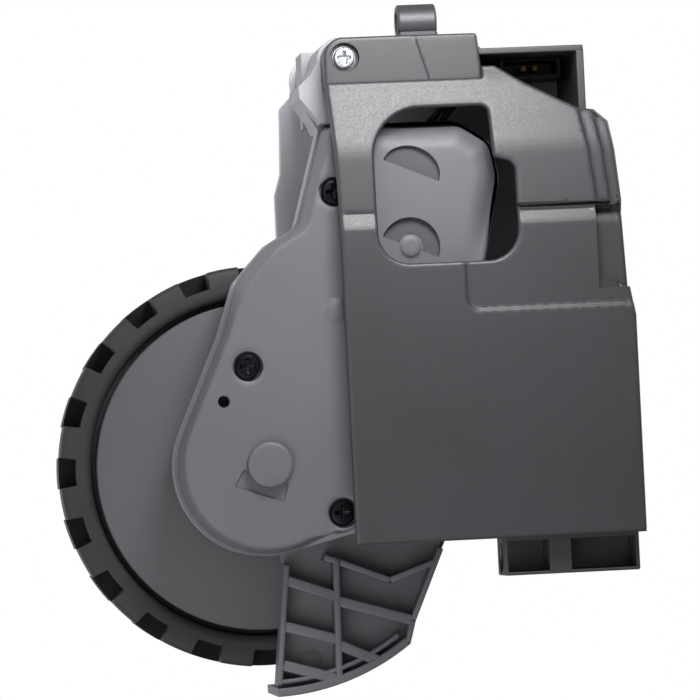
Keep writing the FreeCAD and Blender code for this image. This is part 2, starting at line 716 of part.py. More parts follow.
# Inside of the case, posts and holes
pocket(case, "part_line - 1", CASE_INSIDE, [case_outline("case_wall")])
pocket(case, "part_line - 1", CASE_INSIDE, circles=[("axle_x", "axle_z", "end_radius - case_wall")])
pad(case, "part_line", "case_back", circles=[(x, z, "post_radius") for x, z in SCREWS])
pocket(case, "part_line - 1", "case_back - 1", circles=[(x, z, "shank_radius + fit_gap") for x, z in SCREWS])
pocket(case, CASE_INSIDE + " - 1", "case_back + 1", circles=[("motor_x", "motor_z", "motor_boss + fit_gap")])
pocket(case, "case_back", "case_back + cup_depth + 1", circles=[("motor_x", "motor_z", "motor_radius + fit_gap")])
pocket(case, CASE_INSIDE + " - 1", BOSS_FAR + " + 1",
       circles=[("axle_x", "axle_z", "axle_radius + bush_wall + fit_gap")])
pocket(case, CASE_INSIDE + " - 1", PIN_FAR + " + fit_gap", circles=[(x, z, "gear_pin + fit_gap")
                                                                   for x, z in GEAR_SHAFTS])
HINGE_BORE = "(pin_radius + 0.8)"
pocket(case, BARREL_NEAR + " - 1", BARREL_FAR + " + 1", circles=[("pivot_x", "pivot_z", "pin_radius + 0.2")])
pocket(case, BARREL_NEAR + " - 1", BARREL_NEAR + " + 5", circles=[("pivot_x", "pivot_z", HINGE_BORE + " + fit_gap")])
pocket(case, BARREL_FAR + " - 5", BARREL_FAR + " + 1", circles=[("pivot_x", "pivot_z", HINGE_BORE + " + fit_gap")])

hinge_rings = []
for number, (near, far) in enumerate(((BARREL_NEAR, BARREL_NEAR + " + 4.9"), (BARREL_FAR + " - 4.9", BARREL_FAR))):
    ring = rod("hinge_ring_%d" % number, HINGE_BORE, near, far, "pivot_x", "pivot_z")
    ring_hole = rod("hinge_hole_%d" % number, "pin_radius + turn_gap", near + " - 1", far + " + 1",
                    "pivot_x", "pivot_z")
    hinge_rings.append(cut("hinge_bush_%d" % number, ring, ring_hole, keep=False))
group("hinge_bushes", hinge_rings)

# Gearbox cover: near half, drawn in towards its face, with bosses and shallow recesses
cover = body("gearbox_cover")
DRAW = "((part_line - cover_face) * tan(cover_taper))"
add_gearbox_outline(cover, "cover_face", "part_line", DRAW, "cover_taper")
DOME_X = "(case_top_x + %s)" % DRAW
pocket(cover, "motor_z - 9", "motor_z + 16", role="XY_Plane", loops=[[
    (DOME_X + " - 1", "cover_face - 1"), (DOME_X + " + dome_bevel + 1", "cover_face - 1"),
    (DOME_X + " - 1", "cover_face + dome_bevel + 1")]])
pad(cover, "cover_face - axle_boss_rise", "cover_face + 0.5", circles=[("axle_x", "axle_z", "axle_boss")])
pocket(cover, COVER_INSIDE, "part_line + 1", [case_outline("(case_wall + %s)" % DRAW)])
pocket(cover, COVER_INSIDE, "part_line + 1", circles=[("axle_x", "axle_z", "end_radius - case_wall - %s" % DRAW)])
pad(cover, COVER_INSIDE + " - 0.3", "part_line", circles=[(x, z, "post_radius") for x, z in SCREWS])


def half_moon(x, z, radius, degrees):
    """Half disc whose straight side lies along the given direction."""
    ends = ["%s + %s * %s(%s)" % (at, radius, turn, angle)
            for angle in ("%s" % degrees, "%s + 180" % degrees) for at, turn in ((x, "cos"), (z, "sin"))]
    return [(ends[0], ends[1], radius, 1), (ends[2], ends[3])]


pocket(cover, "cover_face - 1", "cover_face + 0.6", [half_moon("motor_x - 3.3", "motor_z - 2.5", "5.3", "68")])
pocket(cover, "cover_face - 1", "cover_face + 0.6", [half_moon("one_x", "one_z", "5.2", "67")])
pad(cover, "cover_face - 0.4", "cover_face + 1", circles=[("one_x", "one_z", "gear_boss")])
pocket(cover, "cover_face - 1", "cover_face + 0.4", [[
    ("axle_x + 0.6", "axle_z - 4.6"), ("axle_x + 3.5", "axle_z - 6.4"),
    ("axle_x + 6.6", "axle_z + 2.2"), ("axle_x + 3.4", "axle_z + 3.1")]])
pad(cover, "cover_face - 0.2", "cover_face + 0.8", circles=[("axle_x", "axle_z", "axle_boss")])
pocket(cover, "cover_face - 1", "cover_face + 1.2", circles=[("axle_x - 11.3", "axle_z - 7.5", "1.05")])
pocket(cover, "cover_face - 1", "cover_face + counterbore_depth", circles=[(x, z, "counterbore") for x, z in SCREWS])
pocket(cover, "cover_face - 1", "part_line + 1", circles=[(x, z, "shank_radius + fit_gap") for x, z in SCREWS])
pocket(cover, PIN_NEAR + " - fit_gap", COVER_INSIDE + " + 1", circles=[(x, z, "gear_pin + fit_gap")
                                                                     for x, z in GEAR_SHAFTS])
pocket(cover, COVER_INSIDE + " - 2.25", COVER_INSIDE + " + 0.5",
       circles=[("axle_x", "axle_z", "axle_radius + bush_wall + fit_gap")])

HEAD_SEAT = "(cover_face + counterbore_depth - fit_gap)"
group("cover_screws", [
    join("cover_screw_%d" % number, [
        rod("cover_head_%d" % number, "head_radius", HEAD_SEAT + " - head_height", HEAD_SEAT, x, z),
        rod("cover_shank_%d" % number, "shank_radius", HEAD_SEAT + " - 0.2", "part_line + 5", x, z)], keep=False)
    for number, (x, z) in enumerate(SCREWS)])

# Tyre guard: ribbed plate behind the gearbox's round end and a curved wall across the tread
guard = body("tyre_guard")
PLATE_NEAR = "(case_back + turn_gap)"
PLATE_FAR = "(case_back + turn_gap + guard_plate)"


def polar(radius, degrees):
    return ("axle_x + %s * cos(%s)" % (radius, degrees), "axle_z + %s * sin(%s)" % (radius, degrees))


def from_axle(along, across):
    return ("axle_x + %g" % along, "axle_z + %g" % across)


pad(guard, PLATE_NEAR, PLATE_FAR, [[
    from_axle(8, 1.5), from_axle(17.6, 2.7), polar("(guard_radius - 1.8)", "0.7"),
    polar("guard_radius", "1") + ("guard_radius", 1), polar("guard_radius", "guard_sweep"),
    from_axle(28.2, 25.6), from_axle(15.1, 31.3), from_axle(8, 31.5), from_axle(6, 18)]])


def ring_part(outer, wall, first, last):
    """Part of a ring about the axle."""
    inner = "(%s - %s)" % (outer, wall)
    return [polar(outer, first) + (outer, 1), polar(outer, last),
            polar(inner, last) + (inner, -1), polar(inner, first)]


pad(guard, "guard_near", "wheel_mid + tyre_half", [ring_part("guard_radius", "guard_wall", "1", "guard_sweep")])
pad(guard, "guard_near", PLATE_FAR, [ring_part("(guard_radius - 2.2)", "0.8", "1.5", "guard_sweep - 1")])


def strip(start, end, width):
    """Thin rib between two places given from the axle."""
    run = FreeCAD.Vector(end[0] - start[0], end[1] - start[1], 0)
    side = FreeCAD.Vector(-run.y, run.x, 0).normalize()
    signs = ((start, -0.5), (end, -0.5), (end, 0.5), (start, 0.5))
    return [("axle_x + %g + %.6f * %s" % (place_x, side.x * sign, width),
             "axle_z + %g + %.6f * %s" % (place_z, side.y * sign, width)) for (place_x, place_z), sign in signs]


GUARD_RIBS = [
    ((17.6, 3.3), (39.2, 1.0)), ((32.3, 24.0), (28.4, 25.1)), ((28.4, 25.1), (16.0, 30.6)),
    ((17.0, 12.0), (38.6, 11.6)), ((20.4, 3.2), (23.6, 11.8)), ((28.4, 2.4), (31.2, 11.7)),
    ((35.2, 1.8), (38.0, 11.0)), ((24.4, 12.0), (28.4, 25.0)), ((32.2, 12.0), (35.2, 18.6)),
    ((16.6, 9.9), (17.6, 12.6)), ((17.6, 12.6), (21.2, 21.4)), ((21.2, 21.4), (18.4, 29.4)),
]
for start, end in GUARD_RIBS:
    pad(guard, "guard_near", PLATE_FAR, [strip(start, end, "guard_rib")])

# Housing: bent near panel, cut to its outline
housing = body("housing")
pad(housing, "panel_low - 1.4", "panel_top", role="XY_Plane", loops=[[
    ("fold_x - 2", "block_face"), ("fold_x", "block_face"), ("bend_x", "hood_face"), ("hood_end", "hood_face"),
    ("hood_end", "hood_face + panel_wall"), ("bend_x", "hood_face + panel_wall"),
    ("fold_x", "block_face + panel_wall"), ("fold_x - 2", "block_face + panel_wall")]])
pad(housing, "panel_low - 1.4", "panel_top", role="XY_Plane", loops=[[
    ("hood_end", "panel_face + 1.2"), ("hood_end + slit", "panel_face + 1.2", "1.2", 1),
    ("hood_end + slit + 1.2", "panel_face"), ("panel_end", "panel_face"),
    ("panel_end", "panel_face + panel_wall"), ("hood_end", "panel_face + panel_wall")]])
pad(housing, "panel_face + panel_wall - 0.3", "hood_face + panel_wall",
    [box_loop("hood_end - 1.5", "hood_end + slit + 1.5", "panel_low", "window_high")])
RIGHT_EDGE = [("fold_x + 4.4", "bay_top"), ("fold_x + 7.8", "hood_top"), ("hood_end + 2", "hood_top + 2.1"),
              ("shoulder_x - 3", "neck_top"), ("shoulder_x + 2", "panel_top"), ("panel_end", "panel_top")]
PANEL_OUTLINE = [("fold_x - 2", "block_top + 0.2"), ("fold_x - 2", "block_top + 2.8"),
                 ("fold_x + 0.6", "block_top + 6.8"), ("fold_x + 4.4", "hood_top - 5.5")]
PANEL_OUTLINE += RIGHT_EDGE
PANEL_OUTLINE += [("panel_end", "panel_low"), ("hood_end", "panel_low - 0.1"), ("bend_x", "panel_low - 0.4"),
                  ("fold_x", "panel_low - 1.2"), ("fold_x", "block_top + 0.2")]
pocket(housing, "panel_face - 4", "block_face + panel_wall + 1",
       [box_loop("fold_x - 9", "panel_end + 5", "panel_low - 5", "panel_top + 5"), PANEL_OUTLINE])

# Top wall over the wheel, end wall and walls of the connector bay
def wall_loop(points, wall):
    """Strip under a chain of side view points."""
    return points + [(x, "%s - %s" % (z, wall)) for x, z in reversed(points)]


WALL_RUNS = [("hood_face + 2.5", RIGHT_EDGE[:2]),
             ("hood_face + 1.4", [RIGHT_EDGE[1], ("hood_end - 12.1", "hood_top + 0.4")]),
             ("panel_face + 1.6", [("hood_end - 12.1", "hood_top + 0.4")] + RIGHT_EDGE[2:])]
for wall_near, wall_points in WALL_RUNS:
    pad(housing, wall_near, "far_inside", [wall_loop(wall_points, "panel_wall")])
pad(housing, "block_face + 0.5", "far_inside",
    [box_loop("bay_x", "bay_x + side_wall", "block_top - 1", "bay_top")])
pad(housing, "block_face + block_depth - 0.5", "far_inside",
    [box_loop("bay_x", "bay_x + side_wall", "wall_low", "block_top")])
pad(housing, "block_face + 0.5", "far_inside",
    [box_loop("bay_x", "fold_x + 6.6", "bay_top - side_wall", "bay_top")])
FLOOR = [("fold_x - 1.8", "block_top + 0.3"), ("fold_x + 5.6", "bay_top - side_wall + 0.2"),
         ("fold_x + 6.9", "bay_top - side_wall + 0.2"), ("fold_x - 0.5", "block_top + 0.3")]
BAY_FAR = "(bay_back + side_wall)"
pad(housing, "block_face", BAY_FAR, [FLOOR])
pad(housing, "block_face + block_depth - 0.5", BAY_FAR,
    [box_loop("bay_x", "fold_x - 0.5", "block_top - 0.9", "block_top + 0.3")])
pad(housing, "bay_back", BAY_FAR, [[("bay_x", "block_top")] + FLOOR[:2] + [("bay_x", "bay_top - side_wall + 0.2")]])
pocket(housing, "bay_back - 0.5", BAY_FAR + " + 0.5",
       [box_loop("bay_x + 2.2", "bay_x + 4.8", "bay_top - 10.5", "bay_top - 5.5")])

# Block with the hinge lug, barrel of the front mounting lug
pad(housing, "block_face", "block_face + block_depth", [[
    ("block_x - 0.2", "pivot_z", "lug_round", 1), ("block_x - 0.2 + lug_round", "pivot_z - lug_round"),
    ("fold_x", "pivot_z - lug_round"), ("fold_x", "block_top + 0.2"), ("fold_x - 2", "block_top + 0.3"),
    ("block_x", "block_top - 0.4")]])
pad(housing, "-lug_half", "lug_half", [], role="XY_Plane", circles=[("0", "0", "lug_outer")])
pad(housing, "-lug_half", "lug_half", [box_loop("0", "block_x + 1", "-lug_outer", "lug_outer")], role="XY_Plane")
pocket(housing, "-lug_half - 1", "lug_half + 1", role="XY_Plane", circles=[("0", "0", "lug_bore")])
pocket(housing, "block_face - 1", "block_face + block_depth + 1", circles=[("pivot_x", "pivot_z", "pin_radius + fit_gap")])
pocket(housing, "block_face - 1", "block_face + 1.2", circles=[("pivot_x", "pivot_z", "head_recess")])

# Stepped corner of the panel and its sunken field
pad(housing, "panel_face + 1.6", "panel_face + corner_recess + panel_wall",
    [box_loop("hood_end", "shoulder_x - 1.5", "hood_top - 4", "hood_top + 0.6")])
pocket(housing, "panel_face - 1", "panel_face + corner_recess",
       [box_loop("hood_end + slit", "shoulder_x - 3", "hood_top - 2.8", "panel_top + 1")])
pocket(housing, "panel_face - 1", "panel_face + recess_step", [[
    ("hood_end + slit / 2", "window_high - 9.6"), ("shoulder_x - 2.4", "window_high - 9.6", "2.4", 1),
    ("shoulder_x", "window_high - 7.2"), ("shoulder_x", "hood_top + 0.8"), ("hood_end + slit / 2", "hood_top + 0.8")]])
pocket(housing, "panel_face - 1", "hood_face + panel_wall + 0.4",
       [box_loop("hood_end", "hood_end + slit", "window_high - 0.2", "hood_top - 0.4")])

# Window over the gearbox
BIG = "(window_round + 3)"
SMALL = "(window_round / 4)"
WINDOW = [
    ("window_x", "window_low + " + BIG, BIG, 1), ("window_x + " + BIG, "window_low"),
    ("window_end - window_round", "window_low", "window_round", 1), ("window_end", "window_low + window_round"),
    ("window_end", "window_high - window_round", "window_round", 1), ("window_end - window_round", "window_high"),
    ("bend_x + 2.2", "window_high - 0.3"), ("bend_x + 2.2", "window_step + 0.5"),
    ("window_x + " + SMALL, "window_step", SMALL, 1), ("window_x", "window_step - " + SMALL)]
pocket(housing, "panel_face - 1", "block_face + panel_wall - 0.4", [WINDOW])

# Rear lug: block with two open pockets and a bored rib between them
pad(housing, "rear_near", "rear_far", [box_loop("panel_end - 2", "rear_x", "rear_low", "rear_high")])
pad(housing, "panel_face + panel_wall - 0.5", "rear_near + 0.5",
    [box_loop("panel_end - 2", "panel_end", "rear_low", "rear_high")])
for low, high in (("rear_low + rear_wall", "rib_low"), ("rib_high", "rear_high - rear_wall")):
    pocket(housing, "rear_near - 1", "rear_far - rear_wall",
           [box_loop("panel_end + rear_wall", "rear_x - rear_wall", low, high)])
REAR_AXIS = ("(panel_end + rear_x) / 2", "(rear_near + rear_far) / 2")
pocket(housing, "rib_low - 1", "rib_high + 1", role="XY_Plane", circles=[REAR_AXIS + ("lug_bore",)])
pocket(housing, "rear_low - 1", "rear_low + rear_wall + 1", role="XY_Plane", circles=[REAR_AXIS + ("lug_bore + 0.9",)])

# Posts for the far cover's screws and pegs for the switch
FAR_SCREWS = [("bay_x + 3.4", "bay_top - 4.4"), ("hood_end + 2", "hood_top - 1.6"),
              ("shoulder_x + 9", "panel_top - 3.6"), ("panel_end - 5.5", "panel_top - 3.6")]
POST_NEAR = "far_inside - 9"
pad(housing, POST_NEAR, "far_inside", circles=[(x, z, "post_radius + 0.4") for x, z in FAR_SCREWS])
pocket(housing, "far_inside - 7", "far_inside + 1", circles=[(x, z, "shank_radius + fit_gap") for x, z in FAR_SCREWS])
PEGS = [("switch_near + 3", SWITCH_LOW + " + switch_height - 2.4"),
        ("switch_near + switch_length - 3", SWITCH_LOW + " + switch_height - 2.4")]
pad(housing, "bay_x + side_wall / 2", SWITCH_X + " + switch_width", role="YZ_Plane",
    circles=[(y, z, "peg_radius") for y, z in PEGS])
HOOK_Y = "(neck_far + 2 * run_gap + spring_wire * (spring_turns + 0.5) * 1.08)"
HOOK_Z = "(block_top + 3.4)"
pocket(housing, "bay_x - 1", "bay_x + side_wall + 1", role="YZ_Plane",
       circles=[(HOOK_Y, HOOK_Z, "spring_wire / 2 + turn_gap")])

# Far cover with its lug for the hinge pin and stiffening ribs
far = body("far_cover")
FAR_OUT = "(far_inside + far_wall)"
FAR_NEAR = "(far_inside + fit_gap)"
FAR_OUTLINE = [("bay_x", "wall_low"), ("bay_x", "bay_top")] + RIGHT_EDGE[:-1] + [
    ("panel_end - 2.7", "panel_top"), ("panel_end - 2.7", "axle_z + 24"), ("axle_x + 3", "axle_z + 9.5"),
    ("axle_x - 4", "axle_z + 7.2"), ("pivot_x + 20.7", "pivot_z - 8.9"), ("pivot_x + 16.7", "pivot_z - 7.7"),
    ("pivot_x + 4.9", "pivot_z - 7.3"), ("pivot_x + 2.7", "pivot_z - 5.2"), ("pivot_x", "pivot_z - 4.8"),
    ("pivot_x - 3.6", "pivot_z - 3"), ("pivot_x - 4.6", "pivot_z"), ("pivot_x - 3.6", "pivot_z + 3")]
pad(far, FAR_NEAR, FAR_OUT, [FAR_OUTLINE])
for z in ("bay_top - 10", "pivot_z + 12"):
    pad(far, FAR_OUT + " - 0.5", FAR_OUT + " + 1.2", [box_loop("bay_x + 4", "panel_end - 6", z, z + " + side_wall")])
for x in ("hood_end - 6", "shoulder_x + 2", "panel_end - 20"):
    pad(far, FAR_OUT + " - 0.5", FAR_OUT + " + 1.2",
        [box_loop(x, x + " + side_wall", "pivot_z - 4", "bay_top - 1")])
pad(far, FAR_OUT + " - 0.5", FAR_OUT + " + 1.5", circles=[("pivot_x", "pivot_z", "barrel_radius")])
pocket(far, "far_inside - 1", FAR_OUT + " + 0.6", circles=[("pivot_x", "pivot_z", "pin_radius + fit_gap")])
pocket(far, "far_inside - 1", FAR_OUT + " + 3", circles=[(x, z, "shank_radius + fit_gap") for x, z in FAR_SCREWS])

group("far_cover_screws", [
    join("far_screw_%d" % number, [
        rod("far_head_%d" % number, "head_radius", FAR_OUT + " + fit_gap", FAR_OUT + " + 1.4", x, z),
        rod("far_shank_%d" % number, "shank_radius", "far_inside - 6", FAR_OUT + " + 0.5", x, z)], keep=False)
    for number, (x, z) in enumerate(FAR_SCREWS)])

# Hinge pin, held by a screw at the near lug
PIN_START = "(block_face + 1.25)"
pin_bar = rod("pin_bar", "pin_radius", PIN_START, FAR_OUT + " + 0.5", "pivot_x", "pivot_z")
pin_hole = rod("pin_hole", "shank_radius - 0.1 + fit_gap", PIN_START + " - 1", PIN_START + " + 7", "pivot_x", "pivot_z")
cut("hinge_pin", pin_bar, pin_hole)
join("hinge_screw", [
    rod("hinge_head", "head_recess - 0.38", PIN_START + " - 1.05", PIN_START + " - fit_gap", "pivot_x", "pivot_z"),
    rod("hinge_shank", "shank_radius - 0.1", PIN_START + " - 0.3", PIN_START + " + 6", "pivot_x", "pivot_z")])

# Torsion spring: coil round the pin, a hooked leg over the end wall and a leg on the arm's shelf
def rounded_path(points):
    """Straight runs joined by tangent arcs, each as large as its two runs allow."""
    edges = []
    start = points[0]
    for number in range(1, len(points) - 1):
        here = points[number]
        back, ahead = points[number - 1] - here, points[number + 1] - here
        trim = 0.45 * min(back.Length, ahead.Length)
        first = here + FreeCAD.Vector(back).normalize() * trim
        last = here + FreeCAD.Vector(ahead).normalize() * trim
        half_turn = (math.pi - back.getAngle(ahead)) / 2
        radius = trim / math.tan(half_turn)
        inward = (FreeCAD.Vector(back).normalize() + FreeCAD.Vector(ahead).normalize()).normalize()
        centre = here + inward * math.hypot(radius, trim)
        middle = centre - inward * radius
        edges.append(Part.LineSegment(start, first).toShape())
        edges.append(Part.Arc(first, middle, last).toShape())
        start = last
    edges.append(Part.LineSegment(start, points[-1]).toShape())
    return Part.Wire(edges)


def wire_ring(centre, ahead, radius):
    """Eight-sided section of a wire, as wide across its corners as the wire."""
    side = ahead.cross(FreeCAD.Vector(0.31, 0.87, 0.38)).normalize()
    corners = [centre + FreeCAD.Rotation(ahead, 45 * number).multVec(side) * radius for number in range(8)]
    return Part.makePolygon(corners + corners[:1])


def swept_bar(points, radius):
    """Wire along a path."""
    ring = wire_ring(points[0], (points[1] - points[0]).normalize(), radius)
    return rounded_path(points).makePipeShell([ring], True, False)


wire_radius = SIZES["spring_wire"] / 2
coil_radius = SIZES["pin_radius"] + SIZES["spring_gap"] + wire_radius
coil_start = value(COIL_START)
coil_end = coil_start + SIZES["spring_turns"] * value(COIL_PITCH)
pivot = (value("pivot_x"), value("pivot_z"))
helix = Part.makeHelix(value(COIL_PITCH), coil_end - coil_start, coil_radius)
helix_ring = wire_ring(FreeCAD.Vector(coil_radius, 0, 0), FreeCAD.Vector(0, 1, 0), wire_radius)
coil = Part.Wire(helix.Edges).makePipeShell([helix_ring], True, True)
# The helix starts on its +X side; turned so that it starts below the pin
coil.Placement = FreeCAD.Placement(FreeCAD.Vector(pivot[0], coil_start, pivot[1]),
                                   ALONG_Y.multiply(FreeCAD.Rotation(FreeCAD.Vector(0, 0, 1), 90)))
moving_leg = Part.makeCylinder(wire_radius, 10, FreeCAD.Vector(pivot[0], coil_start, value(LEG_Z)),
                               FreeCAD.Vector(1, 0, 0))
hook_z = value(HOOK_Z)
fixed_leg = swept_bar([
    FreeCAD.Vector(pivot[0] - coil_radius, coil_end, pivot[1]),
    FreeCAD.Vector(pivot[0] - coil_radius, coil_end, pivot[1] + 8),
    FreeCAD.Vector(value("bay_x") - 1.9, coil_end, hook_z),
    FreeCAD.Vector(value("bay_x") + SIZES["side_wall"] + 1, coil_end, hook_z)], wire_radius)
computed("drop_spring", coil.fuse([moving_leg, fixed_leg]))

# Drop switch on its pegs, with the plunger that the arm's finger pushes in
SWITCH_TOP = "(%s + switch_height)" % SWITCH_LOW
switch_block = block("switch_block", SWITCH_X, SWITCH_FRONT, "switch_near",
                     "switch_near + switch_length", SWITCH_LOW, SWITCH_TOP)
PLUNGER_Z = "(%s + plunger_side / 4)" % SWITCH_LOW
PLUNGER_END = SWITCH_FRONT + " - plunger_seat"
switch_cuts = [block("plunger_room", PLUNGER_END + " - plunger_travel - run_gap", SWITCH_FRONT + " + 1",
                     SWITCH_MID + " - plunger_side / 2 - turn_gap", SWITCH_MID + " + plunger_side / 2 + turn_gap",
                     PLUNGER_Z + " - turn_gap", PLUNGER_Z + " + plunger_side + turn_gap")]
for number, (y, z) in enumerate(PEGS):
    peg_hole = doc.addObject("Part::Cylinder", "peg_hole_%d" % number)
    peg_hole.setExpression("Radius", "Sizes.peg_radius + Sizes.fit_gap")
    peg_hole.setExpression("Height", "Sizes.switch_width + 2")
    place(peg_hole, SWITCH_X + " - 1", y, z, ALONG_X)
    switch_cuts.append(peg_hole)
cut("switch_body", switch_block, join("switch_room", switch_cuts, keep=False))
plunger = block("switch_plunger", PLUNGER_END, SWITCH_FRONT + " + plunger_rise",
                SWITCH_MID + " - plunger_side / 2", SWITCH_MID + " + plunger_side / 2",
                PLUNGER_Z, PLUNGER_Z + " + plunger_side")
nodes.append(plunger)

# Socket of the motor leads at the back of the connector bay
SOCKET_X = "(bay_x + side_wall + fit_gap)"
SOCKET_Z = "(bay_top - side_wall - 12.7)"
socket_block = block("socket_block", SOCKET_X, SOCKET_X + " + socket_high", "bay_back - socket_deep",
                     "bay_back - fit_gap", SOCKET_Z, SOCKET_Z + " + socket_wide")
socket_room = block("socket_room", SOCKET_X + " + 0.8", SOCKET_X + " + socket_high - 0.8",
                    "bay_back - socket_deep - 1", "bay_back - 2.5", SOCKET_Z + " + 0.8",
                    SOCKET_Z + " + socket_wide - 0.8")
cut("lead_connector", socket_block, socket_room)
LEAD_X = "(%s + socket_high / 2)" % SOCKET_X
LEAD_ENDS = [SOCKET_Z + " + socket_wide / 2 - 1", SOCKET_Z + " + socket_wide / 2 + 1"]
group("connector_pins", [
    block("connector_pin_%d" % number, LEAD_X + " - 0.4", LEAD_X + " + 0.4", "bay_back - socket_deep + 1.5",
          "bay_back - 2.5 - fit_gap", z + " - 0.4", z + " + 0.4")
    for number, z in enumerate(LEAD_ENDS)])

# Two leads from the motor's terminals to the socket
LEAD_Y = value(TAB_NEAR) + 1.1
leads = []
for sign, end_z in zip((-1, 1), LEAD_ENDS):
    leads.append(swept_bar([
        FreeCAD.Vector(value("motor_x") - 5.75, LEAD_Y, value("motor_z") + 4.2 * sign),
        FreeCAD.Vector(value("fold_x") + 5, LEAD_Y, value("motor_z") + 7 + 1.2 * sign),
        FreeCAD.Vector(value(LEAD_X), LEAD_Y - 5, value("block_top") + 4 + sign),
        FreeCAD.Vector(value(LEAD_X), value("bay_back") + 7, value(end_z)),
        FreeCAD.Vector(value(LEAD_X), value("bay_back"), value(end_z))], SIZES["lead_size"] / 2))
computed("motor_leads", Part.makeCompound(leads))

doc.recompute()
for item in doc.Objects:
    if "Invalid" in item.State or "Error" in item.State:
        raise RuntimeError("not built: " + item.Label)
os.makedirs("parts", exist_ok=True)
for node in nodes:
    if node.Shape.isNull() or not node.Shape.isValid() or not node.Shape.Solids:
        raise RuntimeError("bad shape: " + node.Label)
    node.Shape.exportStep("parts/%s.step" % node.Label)
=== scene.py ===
import math
import bmesh
import bpy
import numpy as np
from mathutils import Matrix, Vector
from mathutils.geometry import delaunay_2d_cdt


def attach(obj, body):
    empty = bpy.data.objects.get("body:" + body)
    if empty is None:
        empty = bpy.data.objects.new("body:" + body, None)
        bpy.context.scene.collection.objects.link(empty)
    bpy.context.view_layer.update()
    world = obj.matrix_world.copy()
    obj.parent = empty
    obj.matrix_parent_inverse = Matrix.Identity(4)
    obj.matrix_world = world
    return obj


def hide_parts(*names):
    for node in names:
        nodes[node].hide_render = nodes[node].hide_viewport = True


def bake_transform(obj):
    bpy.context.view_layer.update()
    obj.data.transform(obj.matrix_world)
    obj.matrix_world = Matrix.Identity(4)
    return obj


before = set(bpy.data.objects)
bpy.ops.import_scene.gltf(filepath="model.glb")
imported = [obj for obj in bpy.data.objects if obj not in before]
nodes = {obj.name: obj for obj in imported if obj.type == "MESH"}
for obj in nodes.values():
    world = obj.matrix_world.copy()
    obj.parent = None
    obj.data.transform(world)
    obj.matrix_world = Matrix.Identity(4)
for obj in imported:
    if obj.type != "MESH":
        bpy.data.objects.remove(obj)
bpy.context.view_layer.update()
mm = 0.001
tau = 2 * math.pi
print("frame loaded:", len(nodes), "nodes")

# Camera, in degrees and millimetres: it looks at the aim point from the distance
viewAngle = {"yaw": 6.0, "pitch": 1.9, "roll": 2.75, "distance": 900.0, "aim": (56.0939, 23.5, -11.7439),
             "focalPixels": 5031.0, "imageSide": 700.0, "sensor": 36.0, "clip": (0.01, 50)}


def toPart(vector):
    # photo axes (right, away, up) to part axes: turn by the roll, then X = -up, Y = away, Z = right
    roll = math.radians(viewAngle["roll"])
    right = vector[0] * math.cos(roll) + vector[2] * math.sin(roll)
    up = -vector[0] * math.sin(roll) + vector[2] * math.cos(roll)
    return Vector((-up, vector[1], right))


def addCamera():
    # looks along f = (sin a cos b, cos a cos b, sin b) from -distance * f
    yaw, pitch = math.radians(viewAngle["yaw"]), math.radians(viewAngle["pitch"])
    ahead = Vector((math.sin(yaw) * math.cos(pitch), math.cos(yaw) * math.cos(pitch), math.sin(pitch)))
    right = Vector((math.cos(yaw), -math.sin(yaw), 0))
    up = right.cross(ahead)
    place = toPart(-viewAngle["distance"] * ahead) + Vector(viewAngle["aim"])
    axes = [toPart(right), toPart(up), toPart(-ahead)]
    camera = bpy.data.objects.new("camera", bpy.data.cameras.new("camera"))
    bpy.context.scene.collection.objects.link(camera)
    camera.matrix_world = Matrix.Translation(place * mm) @ Matrix(axes).transposed().to_4x4()
    camera.data.sensor_width = viewAngle["sensor"]
    camera.data.lens = viewAngle["focalPixels"] / viewAngle["imageSide"] * viewAngle["sensor"]
    camera.data.clip_start, camera.data.clip_end = viewAngle["clip"]
    bpy.context.scene.camera = camera


addCamera()
print("camera set")


def toLinear(hexText):
    # sRGB to linear: c / 12.92 below 0.04045, else ((c + 0.055) / 1.055) ^ 2.4
    parts = [int(hexText[i:i + 2], 16) / 255 for i in (1, 3, 5)]
    return [c / 12.92 if c <= 0.04045 else ((c + 0.055) / 1.055) ** 2.4 for c in parts] + [1.0]


def addNode(tree, kind, settings=None, links=None):
    # one node: settings go to attributes or input sockets, links maps input names to output sockets
    node = tree.nodes.new(kind)
    for name, value in (settings or {}).items():
        if name in node.inputs:
            node.inputs[name].default_value = value
        else:
            setattr(node, name, value)
    for name, socket in (links or {}).items():
        tree.links.new(socket, node.inputs[name])
    return node


def newMaterial(name):
    # an empty material and its node tree
    material = bpy.data.materials.new(name)
    material.use_nodes = True
    material.node_tree.nodes.clear()
    return material, material.node_tree


def millimetreNoise(tree, vector, size, detail=2.0, rough=0.5):
    # noise whose blotches are about size millimetres across; object coordinates are metres
    settings = {"Scale": 1000.0 / size, "Detail": detail, "Roughness": rough}
    return addNode(tree, "ShaderNodeTexNoise", settings, {"Vector": vector})


def mixColour(tree, factor, dark, light, ends=(0.0, 1.0)):
    # straight mix of two hex colours as the factor goes from one end to the other
    ramp = addNode(tree, "ShaderNodeValToRGB", links={"Fac": factor})
    for element, colour, place in zip(ramp.color_ramp.elements, (dark, light), ends):
        element.color = toLinear(colour)
        element.position = place
    return ramp.outputs["Color"]


# Floor: a large board far below the module, outside the photo's frame
floorLook = {"height": -160.0, "side": 6000.0, "dark": "#efefef", "light": "#f4f4f4", "rough": 0.8,
             "blotch": 1000.0 / 3}


